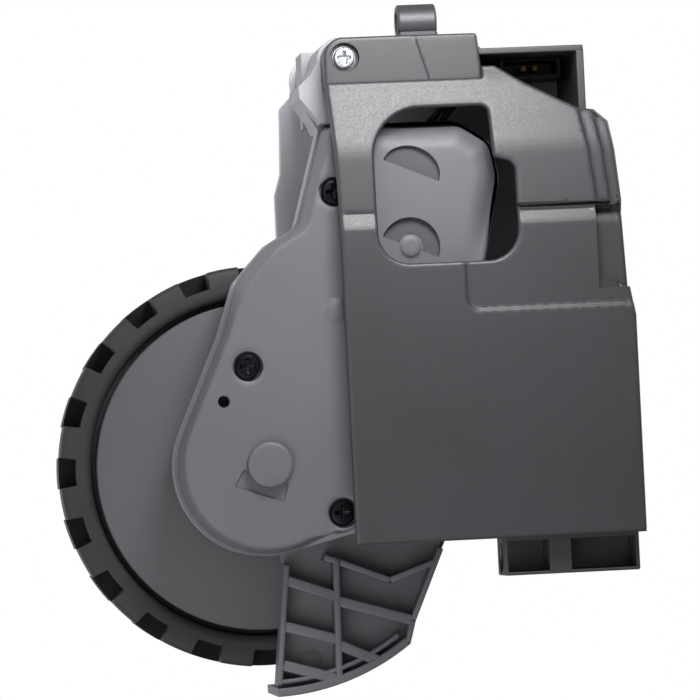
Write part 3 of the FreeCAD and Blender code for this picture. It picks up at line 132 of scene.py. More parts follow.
def addFloor():
    # one level square
    half, level = floorLook["side"] * mm / 2, floorLook["height"] * mm
    corners = [(x, y, level) for x, y in ((-half, -half), (half, -half), (half, half), (-half, half))]
    mesh = bpy.data.meshes.new("floor")
    mesh.from_pydata(corners, [], [(0, 1, 2, 3)])
    floor = bpy.data.objects.new("floor", mesh)
    bpy.context.scene.collection.objects.link(floor)
    material, tree = newMaterial("paintedBoard")  # matt white paint on board: pale, even and without gloss
    coords = addNode(tree, "ShaderNodeTexCoord")
    cloud = millimetreNoise(tree, coords.outputs["Object"], floorLook["blotch"])
    tone = mixColour(tree, cloud.outputs["Fac"], floorLook["dark"], floorLook["light"])
    settings = {"Roughness": floorLook["rough"]}
    shader = addNode(tree, "ShaderNodeBsdfPrincipled", settings, {"Base Color": tone})
    addNode(tree, "ShaderNodeOutputMaterial", links={"Surface": shader.outputs[0]})
    mesh.materials.append(material)


addFloor()

# Lights: places and sides in millimetres, powers in watts; all are turned to the aim point
lightAim = (48, 20, -15)
lights = {
    "keyPanel": {"at": (-46, -95, 4), "size": 60, "power": 0.33},
    "leftSoftbox": {"at": (-60, -260, -420), "size": 300, "power": 1.0},
    "lowSoftbox": {"at": (190, -180, -130), "size": 200, "power": 0.45},
    "backSoftbox": {"at": (-80, 420, 420), "size": 500, "power": 4.0},
}
worldLook = {"seen": (1, 1, 1, 1), "fill": (0.97, 0.97, 1.0, 1), "fillStrength": 0.38}


def addLight(name, look):
    # square area light turned to the middle of the module
    data = bpy.data.lights.new(name, "AREA")
    data.size = look["size"] * mm
    data.energy = look["power"]
    light = bpy.data.objects.new(name, data)
    bpy.context.scene.collection.objects.link(light)
    place = Vector(look["at"]) * mm
    light.location = place
    light.rotation_mode = "QUATERNION"
    light.rotation_quaternion = (place - Vector(lightAim) * mm).to_track_quat("Z", "Y")


def addWorld():
    # the camera sees a white backdrop, and every other ray gets a weaker and slightly cool fill
    world = bpy.data.worlds.new("studio")
    bpy.context.scene.world = world
    world.use_nodes = True
    tree = world.node_tree
    tree.nodes.clear()
    seen = addNode(tree, "ShaderNodeBackground", {"Color": worldLook["seen"], "Strength": 1.0})
    fill = addNode(tree, "ShaderNodeBackground",
                   {"Color": worldLook["fill"], "Strength": worldLook["fillStrength"]})
    rays = addNode(tree, "ShaderNodeLightPath")
    sky = addNode(tree, "ShaderNodeMixShader", links={"Fac": rays.outputs["Is Camera Ray"]})
    tree.links.new(fill.outputs[0], sky.inputs[1])
    tree.links.new(seen.outputs[0], sky.inputs[2])
    addNode(tree, "ShaderNodeOutputWorld", links={"Surface": sky.outputs[0]})


for lightName, lightLook in lights.items():
    addLight(lightName, lightLook)
addWorld()
bpy.context.scene.view_settings.view_transform = "Standard"
print("floor and lights set")

# Plastics and rubber: grain and cloud are blotch sizes in mm. The real grain of a mould is about 0.03 mm,
# too fine to show, so it is drawn ten times as coarse
plasticLooks = {
    # ABS from a polished mould: nearly black, with a wide soft sheen that brightens at every bend
    "polishedAbs": {"dark": "#262528", "light": "#2c2b2f", "rough": 0.47, "grain": 0.35, "relief": 0.2},
    # ABS from an etched mould: even mid grey satin whose edges catch thin lines of light
    "etchedAbs": {"dark": "#4d4c51", "light": "#535257", "rough": 0.56, "grain": 0.3, "relief": 0.3},
    # ABS from a bead-blasted mould, a fine even skin with little gloss; its lighter grey is painted light on
    # the gearbox case and on the shaded back of the bay
    "greyAbsPaintedLight": {"dark": "#7d7c82", "light": "#858489", "rough": 0.5, "grain": 0.3, "relief": 0.3},
    # ABS from a spark-eroded mould, coarser and dull; its darker grey is painted shade on the recess floors
    "sparkedAbsPaintedShade": {"dark": "#343338", "light": "#3b3a3f", "rough": 0.6, "grain": 0.25, "relief": 0.6},
    # ABS with a pale masterbatch, from a plain mould: light wall with a faint gloss, its grey raised further
    # as painted light on the far wall's shaded inner face
    "paleAbsPaintedLight": {"dark": "#a09fa5", "light": "#a8a7ad", "rough": 0.45, "grain": 0.3, "relief": 0.25},
    # ABS from a sand-blasted mould: flat dark grey disc without highlights
    "sandedAbs": {"dark": "#3f3e42", "light": "#444347", "rough": 0.58, "grain": 0.3, "relief": 0.35},
    # rubber vulcanised in a mould: black and dull, with a faint grey bloom
    "mouldedRubber": {"dark": "#1b1b1d", "light": "#212124", "rough": 0.6, "grain": 0.5, "relief": 0.6,
                      "cloud": 12.0, "specular": 0.35},
    # the same rubber painted nearly black and duller: painted shade on the notch walls, at the bottom of the
    # notches
    "rubberPaintedShade": {"dark": "#09090a", "light": "#0e0e10", "rough": 0.8, "grain": 0.5, "relief": 0.6,
                      "cloud": 12.0, "specular": 0.2},
    # moulded acetal: milky white teeth with a waxy shine
    "mouldedAcetal": {"dark": "#dcdad0", "light": "#e6e4dc", "rough": 0.38, "grain": 0.4, "relief": 0.1},
    # moulded nylon: black with a slightly broken gloss
    "mouldedNylon": {"dark": "#17171a", "light": "#1f1f22", "rough": 0.45, "grain": 0.35, "relief": 0.3},
    # PVC extruded over wire: smooth black with a long soft highlight
    "extrudedPvc": {"dark": "#101012", "light": "#17171a", "rough": 0.35, "grain": 1.2, "relief": 0.1},
}
# Metals: line is the marks' size in mm, stretch draws them out along an axis
metalLooks = {
    # hot-blackened steel: dark heads with small soft glints
    "blackenedSteel": {"dark": "#1b1b1e", "light": "#2a2a2e", "rough": 0.34, "line": 0.5},
    # zinc-plated steel: bright, slightly clouded mirror
    "zincPlatedSteel": {"dark": "#8f9196", "light": "#b4b6bb", "rough": 0.36, "line": 0.6},
    # drawn steel wire and pins: bright, with faint lines along Y
    "drawnSteel": {"dark": "#7c7e83", "light": "#a2a4a9", "rough": 0.3, "line": 0.4, "stretch": (1, 0.1, 1)},
    # pressed and sintered bronze: dull speckled brown gold
    "sinteredBronze": {"dark": "#8a6a3a", "light": "#a88450", "rough": 0.5, "line": 0.3},
}


def surfaceShader(tree, settings, tone, height, rough, relief):
    # roughness mapped from the marks' height between two ends, relief as (strength, metres)
    spread = addNode(tree, "ShaderNodeMapRange", rough, {"Value": height})
    bump = addNode(tree, "ShaderNodeBump", {"Strength": relief[0], "Distance": relief[1]}, {"Height": height})
    shader = addNode(tree, "ShaderNodeBsdfPrincipled", settings,
                     {"Base Color": tone, "Roughness": spread.outputs["Result"],
                      "Normal": bump.outputs["Normal"]})
    addNode(tree, "ShaderNodeOutputMaterial", links={"Surface": shader.outputs[0]})


def mouldedPlastic(name, look):
    # wide faint clouds in the colour, fine grain in the gloss and the relief
    material, tree = newMaterial(name)
    vector = addNode(tree, "ShaderNodeTexCoord").outputs["Object"]
    cloud = millimetreNoise(tree, vector, look.get("cloud", 30.0))
    grain = millimetreNoise(tree, vector, look["grain"], rough=0.6)
    tone = mixColour(tree, cloud.outputs["Fac"], look["dark"], look["light"], (0.3, 0.7))
    rough = {"From Min": 0.3, "From Max": 0.7, "To Min": look["rough"] - 0.05, "To Max": look["rough"] + 0.05}
    settings = {"IOR": 1.52, "Specular IOR Level": look.get("specular", 0.5)}
    surfaceShader(tree, settings, tone, grain.outputs["Fac"], rough, (look["relief"], 0.00004))
    return material


def workedMetal(name, look):
    # fine marks, drawn out along one axis where the metal was drawn
    material, tree = newMaterial(name)
    coords = addNode(tree, "ShaderNodeTexCoord")
    stretch = look.get("stretch", (1, 1, 1))
    drawn = addNode(tree, "ShaderNodeMapping", {"Scale": stretch}, {"Vector": coords.outputs["Object"]})
    marks = millimetreNoise(tree, drawn.outputs["Vector"], look["line"], 3.0)
    tone = mixColour(tree, marks.outputs["Fac"], look["dark"], look["light"])
    rough = {"To Min": look["rough"] - 0.08, "To Max": look["rough"] + 0.1}
    surfaceShader(tree, {"Metallic": 1.0}, tone, marks.outputs["Fac"], rough, (0.15, 0.00002))
    return material


finishes = {name: mouldedPlastic(name, look) for name, look in plasticLooks.items()}
finishes.update({name: workedMetal(name, look) for name, look in metalLooks.items()})
finishNodes = {
    "polishedAbs": ["housing"],
    "etchedAbs": ["gearbox_cover", "tyre_guard"],
    # the case's lighter grey is painted light
    "greyAbsPaintedLight": ["gearbox_case"],
    # the far cover's pale grey is partly painted light on its shaded inner face
    "paleAbsPaintedLight": ["far_cover"],
    "sandedAbs": ["wheel_hub"],
    "mouldedRubber": ["tyre"],
    "mouldedAcetal": ["first_gear", "second_gear", "third_gear", "output_gear", "switch_plunger"],
    "mouldedNylon": ["motor_end_cap", "switch_body", "lead_connector"],
    "extrudedPvc": ["motor_leads"],
    "blackenedSteel": ["cover_screws", "far_cover_screws", "hub_screw"],
    "zincPlatedSteel": ["hinge_screw", "motor_can"],
    "drawnSteel": ["hinge_pin", "wheel_axle", "gear_pins", "motor_shaft", "drop_spring"],
    "sinteredBronze": ["axle_bushes", "hinge_bushes", "motor_pinion", "motor_terminals", "connector_pins"],
}
for finishName, nodeNames in finishNodes.items():
    for nodeName in nodeNames:
        nodes[nodeName].data.materials.clear()
        nodes[nodeName].data.materials.append(finishes[finishName])
print("materials made")


# Shapes from outlines
def arcCorner(before, corner, after, radius, step):
    # points of the arc that touches both sides of a corner: centre at radius / sin(half angle)
    back, ahead = before - corner, after - corner
    backLength, aheadLength = np.hypot(*back), np.hypot(*ahead)
    back, ahead = back / backLength, ahead / aheadLength
    half = math.acos(max(-1, min(1, float(back @ ahead)))) / 2
    if radius < 1e-6 or abs(half - math.pi / 2) < 1e-3:
        return corner[None, :]
    reach = min(radius / math.tan(half), 0.499 * backLength, 0.499 * aheadLength)
    radius = reach * math.tan(half)
    middle = (back + ahead) / np.hypot(*(back + ahead))
    centre = corner + middle * radius / math.sin(half)
    first, last = corner + back * reach - centre, corner + ahead * reach - centre
    start = math.atan2(first[1], first[0])
    turn = (math.atan2(last[1], last[0]) - start + math.pi) % tau - math.pi
    count = max(3, int(abs(turn) * radius / step) + 1)
    angles = start + turn * np.linspace(0, 1, count)
    return centre + radius * np.stack([np.cos(angles), np.sin(angles)], 1)


def roundedLoop(corners, step=0.35):
    # closed outline of (x, z, radius) corners, as points in anticlockwise order
    places = np.array([c[:2] for c in corners], float)
    radii = [c[2] if len(c) > 2 else 0.0 for c in corners]
    after = np.roll(places, -1, axis=0)
    arcs = [arcCorner(places[i - 1], places[i], after[i], radii[i], step) for i in range(len(places))]
    loop = np.concatenate(arcs)
    area = np.sum(loop[:, 0] * np.roll(loop[:, 1], -1) - np.roll(loop[:, 0], -1) * loop[:, 1])
    return loop if area > 0 else loop[::-1]


def circleLoop(x, z, radius, count=48):
    # x + r cos t, z + r sin t
    angles = np.linspace(0, tau, count, endpoint=False)
    return np.stack([x + radius * np.cos(angles), z + radius * np.sin(angles)], 1)


def sampled(loop, step):
    # the same outline with extra points so that no run is longer than step
    runs = []
    for start, end in zip(loop, np.roll(loop, -1, axis=0)):
        pieces = max(1, int(np.hypot(*(end - start)) / step))
        runs.append(start + (end - start) * (np.arange(pieces) / pieces)[:, None])
    return np.concatenate(runs)


def insetLoop(loop, amount):
    # every point moves inwards by amount / cos(half the turn) along the mean of its two side normals
    back, ahead = loop - np.roll(loop, 1, axis=0), np.roll(loop, -1, axis=0) - loop
    normals = []
    for run in (back, ahead):
        length = np.hypot(run[:, 0], run[:, 1])[:, None]
        normals.append(np.stack([-run[:, 1], run[:, 0]], 1) / np.maximum(length, 1e-9))
    mean = normals[0] + normals[1]
    mean /= np.maximum(np.hypot(mean[:, 0], mean[:, 1])[:, None], 1e-9)
    stretch = np.clip(np.sum(mean * normals[1], 1), 0.4, 1)
    return loop + mean * (np.asarray(amount) / stretch)[:, None]


def insideLoop(points, loop):
    # even-odd rule: crossings of the ray along +x
    x, z = points[:, 0:1], points[:, 1:2]
    x0, z0 = loop[:, 0], loop[:, 1]
    x1, z1 = np.roll(x0, -1), np.roll(z0, -1)
    spans = (z0 > z) != (z1 > z)
    cross = x0 + (z - z0) * (x1 - x0) / np.where(z1 == z0, 1e-12, z1 - z0)
    return (np.sum(spans & (x < cross), 1) % 2).astype(bool)


def edgeDistance(points, loop):
    # shortest distance to the outline's sides, negative inside
    best = np.full(len(points), 1e9)
    for start, end in zip(loop, np.roll(loop, -1, axis=0)):
        run = end - start
        along = np.clip(((points - start) @ run) / max(float(run @ run), 1e-12), 0, 1)
        gap = points - (start + along[:, None] * run)
        best = np.minimum(best, np.hypot(gap[:, 0], gap[:, 1]))
    return np.where(insideLoop(points, loop), -best, best)


def smooth(low, high, value):
    # 3 t^2 - 2 t^3 between low and high
    t = np.clip((value - low) / (high - low), 0, 1)
    return t * t * (3 - 2 * t)


def innerGrid(loops, creases, spacing):
    # square grid of points inside the outer loop, clear of holes, edges and creases
    outer = loops[0]
    low, high = outer.min(0) + spacing / 2, outer.max(0)
    grid = np.meshgrid(np.arange(low[0], high[0], spacing), np.arange(low[1], high[1], spacing))
    grid = np.stack(grid, -1).reshape(-1, 2)
    keep = insideLoop(grid, outer)
    for loop in loops + creases:
        keep &= np.abs(edgeDistance(grid, loop)) > spacing * 0.45
    for loop in loops[1:]:
        keep &= ~insideLoop(grid, loop)
    return grid[keep].tolist()


def fillFace(loops, creases=(), spacing=0.0):
    # Delaunay triangles between an outer loop and its holes, with the crease lines kept as edges
    creases = list(creases)
    coords, edges = [], []
    for loop in loops + creases:
        first = len(coords)
        coords += loop.tolist()
        edges += [(first + i, first + (i + 1) % len(loop)) for i in range(len(loop))]
    if spacing:
        coords += innerGrid(loops, creases, spacing)
    made = delaunay_2d_cdt([Vector(c) for c in coords], edges, [], 0, 1e-7)
    points = np.array([tuple(v) for v in made[0]])
    faces = np.array([f for f in made[2] if len(f) == 3])
    middles = points[faces].mean(1)
    keep = insideLoop(middles, loops[0])
    for loop in loops[1:]:
        keep &= ~insideLoop(middles, loop)
    return points, faces[keep]


def stitch(first, second, count):
    # quads between two rings of count points each
    i = np.arange(count)
    j = (i + 1) % count
    return np.stack([first + i, first + j, second + j, second + i], 1)


def faceList(blocks):
    # arrays of quads and triangles as one list of faces
    return [tuple(face) for block in blocks for face in block.tolist()]


def meshPiece(name, solids, finish, body, crease=30.0):
    # one object at the origin from closed solids in millimetres, each welded by itself
    weld = 2e-6
    mesh = bpy.data.meshes.new(name)
    whole = bmesh.new()
    for points, faces in solids:
        part = bpy.data.meshes.new("part")
        part.from_pydata((np.asarray(points) * mm).tolist(), [], faces)
        work = bmesh.new()
        work.from_mesh(part)
        bmesh.ops.remove_doubles(work, verts=work.verts, dist=weld)
        bmesh.ops.dissolve_degenerate(work, edges=work.edges, dist=weld / 2)
        bmesh.ops.recalc_face_normals(work, faces=work.faces)
        work.to_mesh(part)
        work.free()
        whole.from_mesh(part)
        bpy.data.meshes.remove(part)
    whole.to_mesh(mesh)
    whole.free()
    mesh.shade_smooth()
    mesh.set_sharp_from_angle(angle=math.radians(crease))
    mesh.materials.append(finishes[finish])
    piece = bpy.data.objects.new(name, mesh)
    bpy.context.scene.collection.objects.link(piece)
    if body:  # a piece that spans a joint has none
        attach(piece, body)
    return piece


def secondFinish(piece, chosen, finish):
    # faces picked by their centres in millimetres and their normals get another finish
    mesh = piece.data
    mesh.materials.append(finishes[finish])
    centres, normals = np.empty(len(mesh.polygons) * 3), np.empty(len(mesh.polygons) * 3)
    mesh.polygons.foreach_get("center", centres)
    mesh.polygons.foreach_get("normal", normals)
    picked = chosen(centres.reshape(-1, 3) / mm, normals.reshape(-1, 3))
    mesh.polygons.foreach_set("material_index", picked.astype(np.int32))


def roundRim(radius, front=True, steps=4):
    # quarter circle as (inset, depth) pairs: inset r (1 - sin a), depth r (1 - cos a)
    angles = np.linspace(0, math.pi / 2, steps + 1)
    pairs = [(radius * (1 - math.sin(a)), radius * (1 - math.cos(a))) for a in angles]
    return pairs if front else [(inset, -depth) for inset, depth in reversed(pairs)]


def heightOf(level):
    # a number stands for the same height everywhere
    return level if callable(level) else lambda points: np.full(len(points), float(level))


def solidParts(loops, near, far, rim, backRim, creases=(), spacing=0.0, holeRim=None, insetScale=None):
    # closed solid between two heights over (x, z): each rim profile runs round every loop
    near, far = heightOf(near), heightOf(far)
    points, faces, total = [], [], 0
    nearEnds, farEnds = [], []
    for number, loop in enumerate(loops):
        sign = 1 if number == 0 else -1  # holes grow outwards
        scale = insetScale(loop) if insetScale and number == 0 else 1.0
        frontRim = holeRim if holeRim and number else rim
        rings = []
        for inset, depth in frontRim:
            ring = insetLoop(loop, inset * scale * sign) if inset else loop
            rings.append(np.column_stack([ring[:, 0], near(ring) + depth, ring[:, 1]]))
        for inset, depth in backRim:
            ring = insetLoop(loop, inset * sign) if inset else loop
            rings.append(np.column_stack([ring[:, 0], far(ring) + depth, ring[:, 1]]))
        for k in range(len(rings) - 1):
            faces.append(stitch(total + k * len(loop), total + (k + 1) * len(loop), len(loop)))
        points += rings
        total += len(rings) * len(loop)
        nearEnds.append(rings[0][:, [0, 2]])
        farEnds.append(rings[-1][:, [0, 2]])
    caps = [(fillFace(nearEnds, creases, spacing), near, rim[0][1]), (fillFace(farEnds), far, backRim[-1][1])]
    for (flat, triangles), level, shift in caps:
        points.append(np.column_stack([flat[:, 0], level(flat) + shift, flat[:, 1]]))
        faces.append(triangles + total)
        total += len(flat)
    return np.concatenate(points), faceList(faces)


def prism(corners, near, far, rim=0.3, step=0.35, holes=()):
    # outline in side view carried along Y, with both rims rounded
    first, last = rim if isinstance(rim, tuple) else (rim, rim)
    loops = [roundedLoop(corners, step)] + list(holes)
    return solidParts(loops, near, far, roundRim(first), roundRim(last, False))


def slab(x0, x1, z0, z1, y0, y1, rim=0.15):
    # rectangle carried along Y
    return prism([(x0, z0), (x1, z0), (x1, z1), (x0, z1)], y0, y1, rim)


def turnAxes(parts, order):
    # the same solid with its axes in another order, so that a prism runs along Z or X
    points, faces = parts
    return points[:, order], faces


def roundedProfile(corners):
    # (r, y, radius) corners of a section as a dense closed profile
    return roundedLoop(corners, 0.12)


def ringFaces(rings, count):
    # quads between each ring and the next, and from the last back to the first
    return faceList([stitch(k * count, (k + 1) % rings * count, count) for k in range(rings)])


def revolveParts(profile, x, z, count=128):
    # closed (radius, y) profile turned round the Y axis at (x, z): x + r cos t, z + r sin t
    angles = np.linspace(0, tau, count, endpoint=False)
    r, y = profile[:, 0][:, None], profile[:, 1][:, None]
    grid = np.stack([x + r * np.cos(angles), y + 0 * angles, z + r * np.sin(angles)], -1)
    return grid.reshape(-1, 3), ringFaces(len(profile), count)


def tubeParts(path, radius, sides=12):
    # circle carried along a path: p + r (n cos t + b sin t), ends closed
    tangent = np.gradient(path, axis=0)
    tangent /= np.linalg.norm(tangent, axis=1)[:, None]
    normal = np.cross(tangent, np.array([0.31, 0.87, 0.38]))
    normal /= np.linalg.norm(normal, axis=1)[:, None]
    binormal = np.cross(tangent, normal)
    angles = np.linspace(0, tau, sides, endpoint=False)
    rings = path[:, None, :] + radius * (normal[:, None, :] * np.cos(angles)[None, :, None]
                                         + binormal[:, None, :] * np.sin(angles)[None, :, None])
    faces = faceList([stitch(k * sides, (k + 1) * sides, sides) for k in range(len(path) - 1)])
    last = (len(path) - 1) * sides
    faces += [tuple(range(sides))[::-1], tuple(range(last, last + sides))]
    return rings.reshape(-1, 3), faces


# Tyre: millimetres and degrees about the axle
axle = (76.1, -29.4)
tyreLook = {"middle": 23.5, "radius": 36.0, "half": 8.0, "treadDepth": 3.0, "recess": 4.6, "land": 1.4,
            "flank": 0.18, "notches": 20, "notchWidth": 8.4, "firstNotch": 17.4, "softEdge": 0.35,
            "angleStep": 1.5, "scale": 0.985}


def tyreSection():
    # (radius, across) points: bead, wall and tread of the near side, then tread, wall and bead of the far one
    outer, half = tyreLook["radius"], tyreLook["half"]
    seat = tyreLook["recess"] - half
    land, flank = tyreLook["land"] / 2, tyreLook["flank"]
    near = [(28.65, seat), (29.5, seat), (30.15, seat), (30.35, seat - 0.2), (30.45, -6.4), (30.5, -7.1),
            (30.65, -7.5), (31.1, -7.85), (31.8, -half), (32.3, -half), (32.6, -half), (33.0, -half),
            (34.9, -half), (35.5, -7.8), (35.85, -7.5), (outer, -7.0), (outer, -4.5), (outer, -land - flank),
            (outer, -land)]
    far = [(outer, land), (outer, land + flank), (outer, 4.5), (outer, 7.0), (35.85, 7.5), (35.5, 7.8),
           (34.9, half), (33.35, half), (32.9, half), (32.4, half), (31.9, 7.85), (31.45, 7.5), (31.3, 7.1),
           (31.3, 6.6), (28.65, 6.6)]
    return np.array(near + far) * np.array([tyreLook["scale"], 1.0])


def tyreParts():
    # the section turned round the axle: x + r cos t, z + r sin t; in a notch r is held to the tread's floor
    section = tyreSection()
    floor = (tyreLook["radius"] - tyreLook["treadDepth"]) * tyreLook["scale"]
    pitch = 360 / tyreLook["notches"]
    halfNotch, soft = tyreLook["notchWidth"] / 2, tyreLook["softEdge"]
    inner, outer = halfNotch - soft * 0.6, halfNotch + soft
    starts = tyreLook["firstNotch"] + pitch * np.arange(tyreLook["notches"])
    offsets = np.array([-outer, -halfNotch, -inner, inner, halfNotch, outer])
    nearTurns, farTurns = starts[:, None] + offsets, starts[:, None] + pitch / 2 + offsets
    even = np.arange(0, 360, tyreLook["angleStep"])
    angles = np.concatenate([nearTurns.ravel(), farTurns.ravel(), even]) % 360
    angles = np.unique(np.round(angles, 3))
    radius, across = section[:, 0][:, None], section[:, 1][:, None]

    def notchDepth(shift):
        # 1 inside a notch of this side, 0 on the blocks
        away = np.abs((angles - tyreLook["firstNotch"] - shift + pitch / 2) % pitch - pitch / 2)
        return 1 - smooth(inner, outer, away)[None, :]

    edge = tyreLook["land"] / 2 + tyreLook["flank"] / 2
    cut = np.maximum(notchDepth(0.0) * (across < -edge), notchDepth(pitch / 2) * (across > edge))
    held = np.where(radius > floor, radius - (radius - floor) * cut, radius)
    t = np.radians(angles)[None, :]
    y = tyreLook["middle"] + across + 0 * t
    grid = np.stack([axle[0] + held * np.cos(t), y, axle[1] + held * np.sin(t)], -1)
    return grid.reshape(-1, 3), ringFaces(len(section), len(angles))


def notchWallsShade(centres, normals):
    # the upright walls of the tread's middle land, which the notches leave bare: they get painted shade
    across = np.abs(centres[:, 1] - tyreLook["middle"])
    wall = tyreLook["land"] / 2 + tyreLook["flank"] / 2
    return (np.abs(across - wall) < 0.12) & (np.abs(normals[:, 1]) > 0.6)


tyre = meshPiece("treadTyre", [tyreParts()], "mouldedRubber", "wheel", 35.0)
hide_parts("tyre")
# the notch walls are painted nearly black as painted shade
secondFinish(tyre, notchWallsShade, "rubberPaintedShade")
print("tyre made")

# Hub: disc with a rim, a boss and spokes behind it
hubLook = {"bore": 2.52, "radius": 29.03, "near": 17.0, "web": 19.2, "rim": (26.4, 28.1), "rimEnd": 30.1,
           "boss": 6.0, "bossEnd": 28.0, "spokes": 8, "spokeHalf": 0.7, "spokeReach": (5.5, 27.2),
           "spokeDepth": (18.5, 27.0)}


def hubParts():
    # disc, rim and boss are one section turned round the axle; each spoke is a rectangle carried along Y
    bore, outer, web = hubLook["bore"], hubLook["radius"], hubLook["web"]
    rimIn, rimOut = hubLook["rim"]
    boss, bossEnd, rimEnd = hubLook["boss"], hubLook["bossEnd"], hubLook["rimEnd"]
    section = [(bore, hubLook["near"]), (outer, hubLook["near"], 0.35), (outer, web, 0.1), (rimOut, web),
               (rimOut, rimEnd, 0.3), (rimIn, rimEnd, 0.3), (rimIn, web, 0.8), (boss, web, 0.5),
               (boss, bossEnd, 0.4), (bore, bossEnd)]
    solids = [revolveParts(roundedProfile(section), *axle, 192)]
    start, end = hubLook["spokeReach"]
    half = hubLook["spokeHalf"]
    for spoke in range(hubLook["spokes"]):
        turn = spoke * tau / hubLook["spokes"]
        along = np.array([math.cos(turn), math.sin(turn)])
        side = np.array([-math.sin(turn), math.cos(turn)])
        corners = [tuple(np.array(axle) + along * r + side * s) + (0.1,)
                   for r, s in ((start, -half), (end, -half), (end, half), (start, half))]
        solids.append(prism(corners, *hubLook["spokeDepth"], 0.2))
    return solids


hub = meshPiece("hubDisc", hubParts(), "sandedAbs", "wheel")
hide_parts("wheel_hub")
print("hub made")

# Gearbox cover: a drawn face with a dome over the motor, recesses, bosses and screw bores
gearPlace = (39.403, -3.101)
screwPlaces = [(58.9, -32.4), (85.0, -17.0), (29.217, -15.956), (58.821, -0.521)]
earPlace = screwPlaces[1]
coverLook = {"face": -3.0, "line": 7.5, "taper": 6.0, "endRadius": 15.9, "earRadius": 3.7, "rim": 0.75,
             "bead": 0.4, "beadWidth": 1.1, "flank": 0.16, "moonDepth": 1.1, "wedgeDepth": 0.45,
             "holeDepth": 5.0, "boreDepth": 1.9, "boreLip": 0.22, "bossRise": 0.3, "axleRise": 1.6,
             "bossRound": 0.25, "mark": (49.8, -16.5), "markRadius": 2.0, "markRise": 0.6}
# Dome over the motor: the face falls towards the edge within the x and z ranges, and the wall leans more
domeLook = {"x": (44.0, 32.0), "z": (-10.0, -4.0), "start": 2.2, "soft": 3.6, "fall": 1.7,
            "leanX": (44.0, 30.0), "leanZ": (-9.0, -3.0), "lean": 0.5, "earRange": (8.0, 4.5),
            "earLean": 0.65}


def coverOutline():
    # side view: dome round the motor, back, ear round a screw, round wheel end and waist
    corners = [(16.9, -17.06, 2.0), (16.9, 7.14, 5.0), (20.9, 13.14, 5.0), (27.42, 14.44, 8.0),
               (42.4, 11.1, 30.0), (56.26, 5.91, 30.0), (70.42, -1.52, 30.0), (81.3, -7.4, 12.0)]
    for centre, radius, sweep in ((earPlace, coverLook["earRadius"], np.linspace(72, -18, 16)),
                                  (axle, coverLook["endRadius"], np.linspace(30, -112, 44))):
        for angle in np.radians(sweep):
            corners.append((centre[0] + radius * math.cos(angle), centre[1] + radius * math.sin(angle)))
    corners += [(53.1, -36.5, 30.0), (43.9, -33.4, 12.0), (37.5, -27.5, 12.0), (34.5, -22.1, 3.0)]
    return sampled(roundedLoop(corners, 0.4), 0.8)


def halfMoon(x, z, radius, degrees, flat):
    # half ellipse on a straight side that lies along the given direction; its height is flat * radius
    angles, turn = np.linspace(0, math.pi, 28), math.radians(degrees)
    along, up = radius * np.cos(angles), radius * flat * np.sin(angles)
    across = x + along * math.cos(turn) - up * math.sin(turn)
    return sampled(np.stack([across, z + along * math.sin(turn) + up * math.cos(turn)], 1), 0.5)


def halfRing(x, z, outer, inner, degrees):
    # outer half circle, then the inner one backwards
    angles = np.radians(degrees + np.linspace(0, 180, 30))
    rings = []
    for r, sweep in ((outer, angles), (inner, angles[::-1])):
        rings.append(np.stack([x + r * np.cos(sweep), z + r * np.sin(sweep)], 1))
    return sampled(np.concatenate(rings), 0.5)


coverLoop = coverOutline()
moonUpper = halfMoon(26.1, -2.4, 5.2, 67.0, 0.82)
sectorLower = halfRing(*gearPlace, 5.2, 2.15, 67.0)
wedge = roundedLoop([(76.7, -34.0, 0.3), (79.6, -35.8, 0.3), (82.7, -27.2, 0.3), (79.5, -26.3, 0.3)])
gearBoss = circleLoop(*gearPlace, 1.85)
axleBoss = circleLoop(*axle, 3.9, 64)
smallHole = circleLoop(64.8, -36.9, 1.05, 28)
coverBores = [circleLoop(x, z, 2.65) for x, z in screwPlaces]


def coverHeight(points):
    # flat face with recesses and bosses on short steep flanks, a fall round the dome and a low round mark
    face, flank = coverLook["face"], coverLook["flank"]
    level = np.full(len(points), face)
    recesses = [(moonUpper, coverLook["moonDepth"]), (sectorLower, coverLook["moonDepth"]),
                (wedge, coverLook["wedgeDepth"]), (smallHole, coverLook["holeDepth"])]
    for loop, depth in recesses:
        level += depth * smooth(-flank, 0.0, -edgeDistance(points, loop) - flank)
    for loop in coverBores:
        away = edgeDistance(points, loop)
        level += coverLook["boreDepth"] * smooth(-flank, 0.0, -away - flank)
        level += coverLook["boreLip"] * smooth(0.5, 0.05, away)
    for loop, rise in ((gearBoss, coverLook["bossRise"]), (axleBoss, coverLook["axleRise"])):
        away = edgeDistance(points, loop)
        top = face - rise + coverLook["bossRound"] * smooth(-0.45, 0.0, away) ** 2
        level = np.where(away < flank, top + (level - top) * smooth(0, flank, away), level)
    within = -edgeDistance(points, coverLoop)
    fall = np.clip(1 - (within - domeLook["start"]) / domeLook["soft"], 0, 1) ** 2
    nearMotor = smooth(*domeLook["x"], points[:, 0]) * smooth(*domeLook["z"], points[:, 1])
    level += domeLook["fall"] * fall * nearMotor
    fromMark = np.hypot(points[:, 0] - coverLook["mark"][0], points[:, 1] - coverLook["mark"][1])
    ball = np.sqrt(np.clip(1 - (fromMark / coverLook["markRadius"]) ** 2, 0, 1))
    return level - coverLook["markRise"] * ball


def bandLoops(loop, width=0.16):
    # the two edges of a steep flank
    return [loop, insetLoop(loop, width)]


def coverCreases():
    # both edges of every recess's and boss's flank
    creases = []
    for loop in [moonUpper, sectorLower, wedge, smallHole] + coverBores:
        creases += bandLoops(loop, coverLook["flank"])
    for loop in (axleBoss, gearBoss):
        creases += bandLoops(loop, -coverLook["flank"]) + bandLoops(insetLoop(loop, 0.2), 0.25)
    return creases


